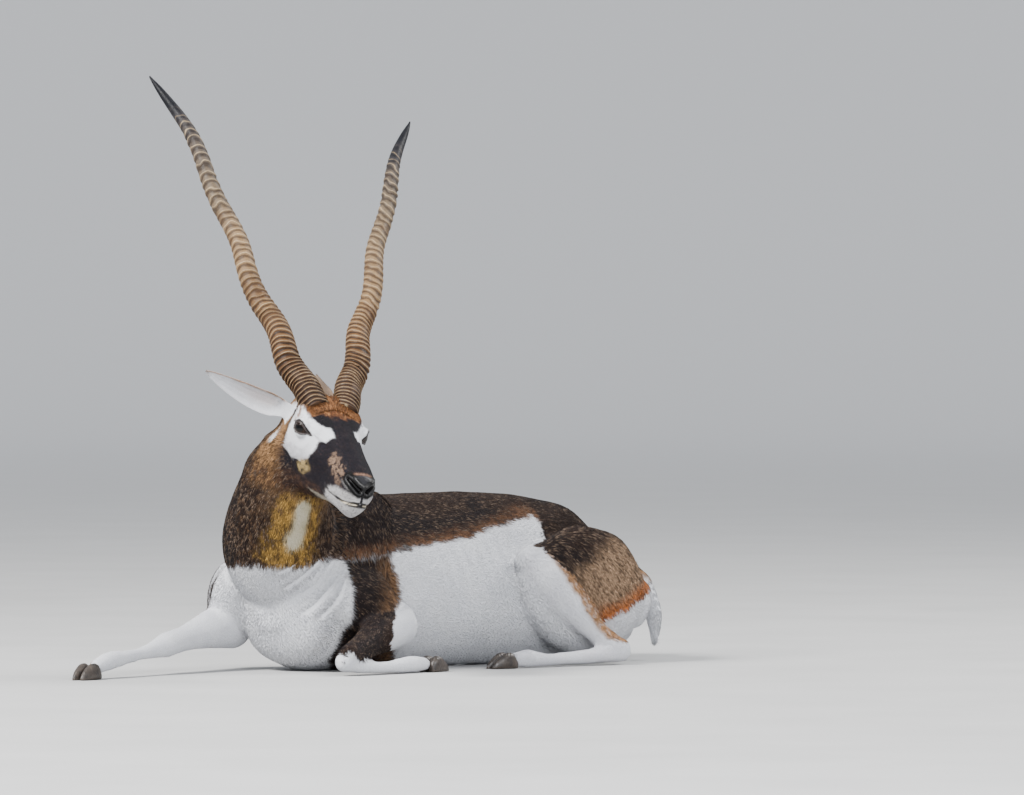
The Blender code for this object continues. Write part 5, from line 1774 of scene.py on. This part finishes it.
def lid_material():
    """Bare dark rim of the lids, damp."""
    made = Nodes("lid_rim")
    tone = made.ramp(made.noise(800.0, 3.0), ((0.3, linear((24, 19, 19))), (0.7, linear((58, 46, 44)))))
    made.give("Base Color", tone)
    rough = made.greys(made.noise(400.0), (0.3, 0.28), (0.7, 0.45))
    made.give("Roughness", rough)
    made.bumps((made.noise(1600.0, 2.0), 0.3, 0.0004))
    return made.material


def lash_material():
    """Near-black hair."""
    made = Nodes("lash_hair")
    tone = made.ramp(made.noise(700.0), ((0.3, linear((18, 15, 16))), (0.7, linear((62, 52, 48)))))
    made.give("Base Color", tone)
    made.give("Roughness", 0.5)
    return made.material


def floor_material():
    """Matt pale grey, paler towards the wall, which gets less light."""
    made = Nodes("studio_floor")
    tone = made.greys(made.noise(3.0, 2.0), (0.3, 0.42), (0.7, 0.46))
    length = made.add("ShaderNodeVectorMath", operation="LENGTH")
    made.feed(made.add("ShaderNodeTexCoord").outputs["Object"], length.inputs[0])
    share = made.add("ShaderNodeMapRange")
    share.inputs["From Min"].default_value = 2.5
    share.inputs["From Max"].default_value = 15.0
    made.feed(length.outputs["Value"], share.inputs["Value"])
    pale = made.mix(tone, (0.82, 0.82, 0.83, 1.0), share.outputs["Result"])
    made.give("Base Color", pale)
    made.give("Roughness", 0.9)
    made.give("Specular IOR Level", 0.2)
    return made.material


# Eyes.


def make_eye(side, material):
    """Ball with a slightly raised cornea. Rings run from the back of the ball to the middle of the cornea."""
    centre, outward, fore, upward = eye_axes(side)
    polar = np.radians(np.linspace(178, 1, 72))
    turn = circle(96)
    across = np.cos(turn)[None, :, None] * fore + np.sin(turn)[None, :, None] * upward
    rel = np.cos(polar)[:, None, None] * outward + np.sin(polar)[:, None, None] * across
    cornea = 0.05 * np.exp(-((np.degrees(polar) / 34) ** 4))
    reach = (EYE_RADIUS + cornea)[:, None, None]
    rings = from_head(centre + rel * reach)
    word = SIDE_WORDS[side]
    obj = closed_grid("eyeball_" + word, rings)
    local = to_head(points_of(obj)) - centre
    a = np.degrees(np.arctan2(local @ fore, local @ outward))
    b = np.degrees(np.arctan2(local @ upward, np.hypot(local @ fore, local @ outward)))
    tilt = math.radians(EYE_TILT)
    level = a * math.cos(tilt) + b * math.sin(tilt)
    high = b * math.cos(tilt) - a * math.sin(tilt)
    angle = np.hypot(a, b)
    spokes = noise(np.c_[np.cos(np.arctan2(b, a)) * 9, np.sin(np.arctan2(b, a)) * 9, angle / 30], 0.5, 51)
    colour = np.repeat(linear((20, 12, 9))[None], len(a), 0)
    colour = mixed(colour, (48, 30, 17), 0.7 * spokes * ease(14, 32, angle))
    pupil = np.hypot(level / 26, high / 11)
    colour = mixed(colour, (3, 3, 4), ease(1.15, 0.90, pupil))
    colour = mixed(colour, (12, 9, 8), ease(40, 46, angle))
    colour = mixed(colour, (70, 56, 50), ease(54, 60, angle) * 0.7)
    set_colour(obj, colour)
    obj.data.materials.append(material)
    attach(obj, "root")
    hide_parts("eye_" + word)


def rim_path(side, steps=96, out=0.06):
    """Closed curve along the almond between the lids, just over the ball, in the head's centimetres."""
    centre, outward, fore, upward = eye_axes(side)
    turn = circle(steps)
    a = np.where(np.cos(turn) > 0, EYE_FORE, EYE_AFT) * np.cos(turn)
    upper, lower = almond(a)
    b = np.radians(np.where(np.sin(turn) > 0, upper, -lower))
    a = np.radians(a)
    rel = (
        np.cos(b)[:, None] * (np.cos(a)[:, None] * outward + np.sin(a)[:, None] * fore)
        + np.sin(b)[:, None] * upward
    )
    return centre + rel * (EYE_RADIUS + out), rel, turn


def make_lid_rim(side, material):
    """A soft ring along both lids' edges, thicker above, that meets the ball."""
    path, rel, turn = rim_path(side)
    along = unit(np.roll(path, -1, axis=0) - np.roll(path, 1, axis=0))
    aside = np.cross(along, rel)
    thick = 0.095 + 0.055 * np.clip(np.sin(turn), 0, 1)
    angles = circle(12)
    rings = (
        path[:, None]
        + rel[:, None] * (thick[:, None] * np.cos(angles) * 0.9)[..., None]
        + aside[:, None] * (thick[:, None] * np.sin(angles) * 1.15)[..., None]
    )
    count, sides = rings.shape[:2]
    index = np.arange(count * sides).reshape(count, sides)
    following = np.roll(index, -1, axis=0)
    quads = np.stack([index, following, np.roll(following, -1, 1), np.roll(index, -1, 1)], -1).reshape(-1, 4)
    word = SIDE_WORDS[side]
    points = from_head(rings.reshape(-1, 3))
    obj = mesh_object("lid_rim_" + word, points, quads)
    outward = (normals_of(obj) * (points - np.repeat(from_head(path), sides, 0))).sum()
    if outward < 0:
        obj.data.flip_normals()
    obj.data.materials.append(material)
    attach(obj, "root")


# Horns.


def horn_centre(at, side):
    """Middle of the horn at a share of its length: a line that bows a little, wound as an open spiral."""
    at = np.asarray(at, float)
    base = np.array([HORN_BASE_AT[0], side * HORN_BASE_AT[1], HORN_BASE_AT[2]])
    tip = np.array([HORN_TIP_AT[0], side * HORN_TIP_AT[1], HORN_TIP_AT[2]])
    along = (tip - base) / np.linalg.norm(tip - base)
    out = unit(np.array([0.0, side, 0.0]) - side * along[1] * along)
    fore = np.cross(out, along) * side
    first = math.radians(HORN_PHASE)
    sway = HORN_SWAY * np.clip(at / 0.12, 0, 1) * (1 - at) ** 0.377
    turn = 2 * math.pi * HORN_TURNS * at**0.757 + first
    bow = 4 * at * (1 - at)
    late = 9.48 * at**3 * (1 - at)
    outward = sway * (np.cos(turn) - math.cos(first)) + HORN_BOW[0] * bow + HORN_LATE_BOW[0] * late
    forward = sway * (np.sin(turn) - math.sin(first)) + HORN_BOW[1] * bow + HORN_LATE_BOW[1] * late
    return base + (tip - base) * at[..., None] + out * outward[..., None] + fore * forward[..., None]


def ring_count(at):
    """How many rings lie below a share of the horn's length; their pitch grows towards the tip."""
    rate = HORN_LENGTH / HORN_PITCH_GROWTH
    return rate * np.log(1 + np.asarray(at) * HORN_PITCH_GROWTH / HORN_RING_PITCH)


def make_horn(side, material):
    """Spiral horn with oblique rings: each crest is a rounded wave that drops sharply on its lower side."""
    steps = 900
    sides = 52
    at = np.r_[np.linspace(-0.03, 0.88, steps), np.linspace(0.882, 1.0, 50)]
    inside = np.clip(at, 0, 1)
    middle = horn_centre(inside, side)
    start = np.flatnonzero(at > 0)[0]
    first = unit(middle[start + 1] - middle[start])
    below = at < 0
    middle[below] = horn_centre(np.array([0.0]), side) + first * (at[below] * HORN_LENGTH)[:, None]
    along = unit(np.gradient(middle, axis=0))
    across = unit(np.cross(along, (1.0, 0.0, 0.0)))
    other = np.cross(along, across)
    taper = np.array(HORN_TAPER)
    radius = HORN_BASE_RADIUS * spline(taper[:, 0], taper[:, 1], inside)
    angles = circle(sides)
    word = SIDE_WORDS[side]
    # the rings tip, so that each crest climbs round the horn, and they wander a little
    c, s = np.tile([np.cos(angles), np.sin(angles)], len(at))
    round_at = np.c_[c, s, np.repeat(at * 46, sides)]
    wander = (noise(round_at, 0.9, 61 + side) - 0.5).reshape(len(at), sides)
    lean = (0.75 - 0.35 * inside)[:, None] * np.cos(angles + 0.9 * side)[None]
    count = ring_count(at)[:, None] + lean + 0.6 * wander
    saw = count % 1.0
    crest = np.where(saw < 0.28, ease(0.0, 0.28, saw), 1 - ease(0.28, 1.0, saw) ** 0.8)
    ringed = ease(HORN_RINGED_TO + 0.03, HORN_RINGED_TO - 0.06, inside)
    worn = 1 - 0.45 * hill(inside - 0.48, 0.16) + 0.5 * ease(0.6, 0.75, inside)
    uneven = 0.3 + 1.4 * noise(round_at, 1.5, 63 + side).reshape(len(at), sides)
    grain = noise(np.c_[round_at[:, :2] * 9, round_at[:, 2] * 0.35], 1.0, 64).reshape(len(at), sides) - 0.5
    ridge = HORN_RIDGE * 1.9 * (ringed * worn)[:, None] * (crest - 0.45) * uneven
    size = radius[:, None] * (1 + ridge + 0.022 * grain)
    ring = np.cos(angles)[None, :, None] * across[:, None] + np.sin(angles)[None, :, None] * other[:, None]
    rings = middle[:, None] + ring * size[..., None]
    rings = rings * HEAD_SCALE @ HEAD_TURN.T + HEAD_AT
    obj = closed_grid("horn_sheath_" + word, rings)
    colour = horn_colour(np.repeat(inside, sides), crest.ravel(), round_at, side)
    colour = np.concatenate([colour, colour[:1], colour[-1:]])
    set_colour(obj, colour)
    obj.data.materials.append(material)
    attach(obj, "root")
    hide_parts("horn_" + word)


def horn_colour(at, crest, round_at, side):
    """Brown base, sand middle, grey-beige above, blue-black tip, and darker in the grooves."""
    stops = (0.0, 0.10, 0.20, 0.32, 0.48, 0.62, 0.75, 0.84, 0.90)
    body = ((66, 45, 29), (78, 53, 33), (100, 71, 44), (126, 98, 67), (128, 104, 76), (108, 92, 73),
            (84, 74, 65), (44, 42, 45), (17, 18, 24))
    groove = ((32, 20, 14), (34, 22, 15), (44, 30, 20), (70, 51, 34), (80, 62, 45), (70, 58, 46),
              (52, 45, 40), (30, 29, 32), (14, 15, 20))
    body = np.array([linear(row) for row in body])
    groove = np.array([linear(row) for row in groove])
    blotch = noise(round_at, 2.4, 66 + side) - 0.5
    place = np.clip(at + 0.07 * blotch, 0, 1)
    high = np.stack([np.interp(place, stops, body[:, k]) for k in range(3)], 1)
    low = np.stack([np.interp(place, stops, groove[:, k]) for k in range(3)], 1)
    rough = noise(round_at, 0.7, 67 + side) - 0.5
    share = ease(0.06, 0.45, crest + 0.35 * rough)[:, None]
    colour = low * (1 - share) + high * share
    # painted highlight: a pale line along the top of each crest on the ringed part
    edge = ease(0.90, 1.0, crest + 0.10 * rough) * ease(0.90, 0.80, at)
    colour = mixed(colour, (190, 166, 130), 0.55 * edge)
    stain = ease(0.52, 0.80, noise(round_at, 1.6, 68 + side))
    return mixed(colour, (70, 48, 32), 0.50 * stain * ease(0.9, 0.6, at))


# Hooves.

# share of the claw's length from heel to toe, height, half width
CLAW = (
    (0.00, 0.55, 0.62),
    (0.15, 0.92, 0.95),
    (0.40, 1.00, 1.00),
    (0.70, 0.72, 0.78),
    (0.90, 0.40, 0.45),
    (1.00, 0.16, 0.16),
)
CLAW_LENGTH = 0.046
CLAW_HEIGHT = 0.025
CLAW_HALF_WIDTH = 0.0085
CLAW_APART = 0.0024
# heel of each foot, and the heading of its toes in degrees
FEET = {
    "hindleg_left": ((0.002, 0.171, 0.0), 1.0),
    "hindleg_right": ((0.002, -0.171, 0.0), -1.0),
    "foreleg_right": ((0.737, 0.085, 0.0), 23.0),
    "foreleg_left": ((0.186, 0.195, 0.0), 196.0),
}


def make_claw(foot, side, material):
    """One claw, flat below, with growth rings that follow its upper edge."""
    heel, heading = FEET[foot]
    knots = [row[0] for row in CLAW]
    share = np.linspace(0, 1, 44)
    height, width = spline(knots, [row[1:] for row in CLAW], share).T
    turn = math.radians(heading)
    fore = np.array([math.cos(turn), math.sin(turn), 0.0])
    left = np.array([-math.sin(turn), math.cos(turn), 0.0])
    angles = circle(36)
    c, s = superellipse(angles, 2.6)
    middle = side * (CLAW_HALF_WIDTH + CLAW_APART / 2)
    inward = np.clip(share - 0.2, 0, 1) * -0.0030 * side
    half = CLAW_HALF_WIDTH * np.maximum(width, 0.12)
    tall = CLAW_HEIGHT * np.maximum(height, 0.14)
    spot = np.asarray(heel) + fore * (share * CLAW_LENGTH)[:, None] + left * (middle + inward)[:, None]
    lean = 0.82 + 0.18 * (1 - s)
    grow = np.cos(2 * math.pi * (share[:, None] * 9 + 1.6 * s[None])) * 0.00022 * (s > -0.9)
    rings = spot[:, None] + left * (half[:, None] * c * lean + grow * np.sign(c))[..., None]
    up = tall[:, None] * (0.5 + 0.5 * s) + grow * np.clip(s, 0, 1)
    rings = rings + np.maximum(up, 0.0003)[..., None] * np.array([0.0, 0.0, 1.0])
    word = SIDE_WORDS[side]
    obj = closed_grid("claw_" + foot + "_" + word, rings)
    points = points_of(obj)
    tone = noise(points, 0.006, 71)
    colour = np.repeat(linear((44, 39, 37))[None], len(points), 0)
    colour = mixed(colour, (92, 80, 70), 0.5 * tone + 0.35 * ease(0.005, 0.0, points[:, 2]))
    set_colour(obj, colour)
    obj.data.materials.append(material)
    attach(obj, "root")
    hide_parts("hoof_" + foot + "_" + word)


# Long single hairs: lashes and whiskers.


def make_hairs(name, roots, tips, thick, material, droop=0.0):
    """Bent hairs of three rings and a point, each a thin three-sided spindle."""
    roots = np.asarray(roots)
    tips = np.asarray(tips)
    count = len(roots)
    along = tips - roots
    length = np.linalg.norm(along, axis=1, keepdims=True)
    aside = unit(np.cross(along, np.array([0.3, 0.2, 0.93])))
    other = unit(np.cross(along, aside))
    layers = []
    for share, size in ((0.0, 1.0), (0.35, 0.8), (0.7, 0.45)):
        middle = roots + along * share - np.array([0, 0, 1.0]) * droop * length * share**2
        for turn in (0.0, 2.094, 4.189):
            layers.append(middle + (aside * math.cos(turn) + other * math.sin(turn)) * thick * size)
    layers.append(tips - np.array([0, 0, 1.0]) * droop * length)
    points = np.stack(layers, 1)
    faces = [[0, 2, 1]]
    for ring in (0, 3):
        for k in range(3):
            j = (k + 1) % 3
            faces += [[ring + k, ring + j, ring + 3 + j], [ring + k, ring + 3 + j, ring + 3 + k]]
    faces += [[6, 7, 9], [7, 8, 9], [8, 6, 9]]
    faces = (np.array(faces)[None] + 10 * np.arange(count)[:, None, None]).reshape(-1, 3)
    obj = mesh_object(name, points.reshape(-1, 3), faces)
    obj.data.materials.append(material)
    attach(obj, "root")


def make_lashes(side, rng, material):
    """Hairs along the upper lid that point out, up and back, each its own length."""
    path, rel, turn = rim_path(side, 160, 0.10)
    _, _, fore, upward = eye_axes(side)
    upper = (np.sin(turn) > 0.12) & (np.cos(turn) < 0.8)
    roots = path[upper]
    out = rel[upper]
    length = (0.34 + 0.18 * rng.random(len(roots)))[:, None]
    lean = 0.35 * upward - 0.35 * fore + 0.25 * (rng.random((len(roots), 3)) - 0.5)
    tips = roots + (out * 0.75 + lean) * length
    word = SIDE_WORDS[side]
    make_hairs("lashes_" + word, from_head(roots), from_head(tips), 0.00016, material, 0.25)


# The skin, the coat and the other pieces.

rng = np.random.default_rng(SEED)
skin = make_skin()
chart = coat_map(skin)
set_colour(skin, coat_colour(chart["points"], chart["normals"], chart["label"]))
set_bare(skin, bareness(chart["points"]))
set_skin_uv(skin, chart["label"], chart["share"], chart["angle"])
skin.data.materials.clear()
skin.data.materials.append(skin_material())
skin.data.polygons.foreach_set("use_smooth", np.ones(len(skin.data.polygons), bool))
skin.data.polygons.foreach_set("material_index", np.zeros(len(skin.data.polygons), np.int32))
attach(skin, "root")
FLESH = [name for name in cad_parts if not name.startswith(("eye", "horn", "hoof"))]
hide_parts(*FLESH)


def keep_off(at, rng):
    """Which places grow hair: not the naked nose, the lips' line or the lids' edges."""
    keep = rng.random(len(at)) > bareness(at) * 1.3
    for sign in (1, -1):
        far, a, b, _ = eye_angles(to_head(at), sign)
        keep &= ~((opening(a, b) < 6) & (far < 2.6))
    return keep


def tuft_sizes(found, white, rng):
    """Length, width and rise in metres: shorter towards the nose, longer on the forehead, flat on white."""
    sizes = found["sizes"][:, :3].T / 1000 * (0.75 + 0.5 * rng.random(len(white)))
    local = to_head(found["points"])
    face = found["label"] == NAMES.index("head")
    sizes[0] *= np.where(face, 0.62 + 0.38 * ease(13, 4, local[:, 0]), 1.0)
    crest = bump(folded(local), (-1.6, 0.8, 5.2), (2.6, 2.2, 1.6)) * face
    sizes[0] *= 1 + 1.3 * crest
    sizes[2] *= 1 + 1.8 * crest
    for sign in (1, -1):
        centre = eye_axes(sign)[0]
        near_eye = ease(3.4, 2.2, np.linalg.norm(local - centre, axis=1))
        sizes[:, face] *= 1 - 0.45 * near_eye[face]
    collar = ease(0.9, 0.2, horn_foot(local)) * face
    sizes[0] *= 1 + 0.9 * collar
    sizes[2] *= 1 + 5.0 * collar
    flat = white * ~face
    sizes[0] *= 1 - 0.20 * flat
    sizes[2] *= 1 - 0.45 * flat
    return sizes


def fleck(colours, found, rng):
    """Tone of each tuft: pale-tipped hairs clustered in the dark coat, salt and pepper in the brown."""
    count = len(colours)
    bright = colours.mean(1)
    white = ease(0.25, 0.50, bright)
    tone = 1 + (0.40 - 0.30 * white) * (rng.random(count) - 0.5)
    kind = found["label"]
    rich = np.isin(kind, [NAMES.index(name) for name in NAMES if name.startswith(("neck", "haunch"))])
    cluster = noise(found["points"], 0.0036, 71)
    chance = np.where(rich, 0.60, 0.46) * ease(0.46, 0.72, cluster) + 0.02
    pale = (rng.random(count) < chance) & (bright < 0.07)
    face = (kind == NAMES.index("head")) & (to_head(found["points"])[:, 0] > 0)
    made = colours * tone[:, None]
    tips = linear((128, 108, 92)) * (0.20 + np.where(rich, 0.75, 0.50) * rng.random(count))[:, None]
    made = np.where((pale & ~face)[:, None], tips, made)
    made = np.where((pale & face)[:, None], colours * 2.4, made)
    # brown coat is a mixture of near-black and straw-coloured hairs
    brown = ease(0.05, 0.10, bright) * ease(0.46, 0.32, bright)
    pick = rng.random(count) + 0.5 * (cluster - 0.5)
    made = made * (1 - 0.62 * brown * (pick < 0.26))[:, None]
    return made * (1 + 0.45 * brown * (pick > 0.80))[:, None]


found = scatter(skin, chart, rng)
keep = keep_off(found["points"], rng)
found = {name: values[keep] for name, values in found.items()}
label = found["label"]
plain = coat_colour(found["points"], found["normals"], label)
sizes = tuft_sizes(found, ease(0.25, 0.50, plain.mean(1)), rng)
colours = fleck(plain, found, rng)
spots = tuft_arrays(found["points"], found["normals"], found["lie"], sizes, found["sizes"][:, 4], rng)
spots[..., 2] = np.maximum(spots[..., 2], FLOOR_GAP)
uv = np.stack(atlas(label, found["share"], found["angle"]), 1)

GROUPS = {
    "trunk": ("trunk",),
    "neck": ("neck",),
    "shoulders": ("blade", "arm"),
    "haunches": ("haunch",),
    "legs": ("forearm", "cannon", "shank", "hind", "tail"),
    "head": ("head", "ear"),
}
hair = coat_material()
kind = KINDS[label]
for group, members in GROUPS.items():
    here = np.flatnonzero(np.isin(kind, members))
    parts = max(1, -(-len(here) // MOST_TUFTS))
    for k in range(parts):
        some = here[k::parts]
        name = "coat_" + group + ("" if parts == 1 else "_" + str(k + 1))
        piece = make_tufts(name, spots[some], colours[some], uv[some], hair)
        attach(piece, "root")

ball_finish = eye_material()
rim_finish = lid_material()
lash_finish = lash_material()
sheath = horn_material()
claw_finish = hoof_material()
for sign in (1, -1):
    make_eye(sign, ball_finish)
    make_lid_rim(sign, rim_finish)
    make_lashes(sign, rng, lash_finish)
    make_horn(sign, sheath)
    for foot in FEET:
        make_claw(foot, sign, claw_finish)


# The stage, the light and the camera.

CAMERA_TURN = SIGHT
CAMERA_LIFT = math.radians(1.0)
CAMERA_FAR = 13.76
PIXELS_PER_METRE = 620.0
FRAME_PIXELS = (1024, 795)
ORIGIN_PIXEL = (453, 664)


def make_stage():
    """A round floor that curves up into a low wall on every side: a profile turned about the upright axis."""
    bend = np.radians(np.linspace(0, 90, 16))
    out = np.r_[0.02, 1.0, 4.0, 9.0, 15.0 + 3.0 * np.sin(bend), 18.0]
    up = np.r_[0.0, 0.0, 0.0, 0.0, 3.0 - 3.0 * np.cos(bend), 4.5]
    turn = circle(96)
    rings = np.stack(
        [
            out[:, None] * np.cos(turn),
            out[:, None] * np.sin(turn),
            np.repeat(up[:, None], len(turn), 1),
        ],
        -1,
    )
    index = np.arange(len(out) * len(turn)).reshape(len(out), len(turn))
    near = index[:-1]
    far = index[1:]
    quads = np.stack([near, far, np.roll(far, -1, 1), np.roll(near, -1, 1)], -1).reshape(-1, 4)
    floor = mesh_object("studio_floor", rings.reshape(-1, 3), quads)
    floor.data.materials.append(floor_material())


def make_light(name, at, size, power, colour):
    """A lamp with a face of the given width and height, aimed at the animal."""
    light = bpy.data.lights.new(name, "AREA")
    light.shape = "RECTANGLE"
    light.size = size[0]
    light.size_y = size[1]
    light.energy = power
    light.color = colour
    obj = bpy.data.objects.new(name, light)
    obj.location = at
    obj.rotation_euler = (Vector((0.1, 0.05, 0.25)) - Vector(at)).to_track_quat("-Z", "Y").to_euler()
    bpy.context.scene.collection.objects.link(obj)


def make_camera():
    """Long lens, level with the animal's chest, so that the picture has the photograph's framing."""
    towards = Vector(
        (
            math.sin(CAMERA_TURN) * math.cos(CAMERA_LIFT),
            math.cos(CAMERA_TURN) * math.cos(CAMERA_LIFT),
            math.sin(CAMERA_LIFT),
        )
    )
    right = Vector((-math.cos(CAMERA_TURN), math.sin(CAMERA_TURN), 0))
    upward = towards.cross(right)
    middle_x = FRAME_PIXELS[0] / 2 - ORIGIN_PIXEL[0]
    middle_y = ORIGIN_PIXEL[1] - FRAME_PIXELS[1] / 2
    aim = (right * middle_x + upward * middle_y) / PIXELS_PER_METRE
    data = bpy.data.cameras.new("camera")
    data.sensor_width = 36.0
    data.lens = PIXELS_PER_METRE * CAMERA_FAR / FRAME_PIXELS[0] * data.sensor_width
    data.clip_end = 60.0
    camera = bpy.data.objects.new("camera", data)
    camera.location = aim + towards * CAMERA_FAR
    camera.rotation_euler = towards.to_track_quat("Z", "Y").to_euler()
    bpy.context.scene.collection.objects.link(camera)
    bpy.context.scene.camera = camera


make_stage()
make_light("key", (5.2, 0.2, 5.0), (1.8, 1.8), 1150.0, (1.0, 0.985, 0.96))
make_light("fill", (2.0, 5.8, 2.4), (3.2, 2.4), 320.0, (0.95, 0.97, 1.0))
make_light("rim", (-3.6, 1.2, 4.2), (2.2, 2.0), 330.0, (1.0, 0.99, 0.97))
world = bpy.data.worlds.new("studio")
world.use_nodes = True
world.node_tree.nodes["Background"].inputs["Color"].default_value = (0.86, 0.90, 0.95, 1.0)
world.node_tree.nodes["Background"].inputs["Strength"].default_value = 0.72
bpy.context.scene.world = world
make_camera()
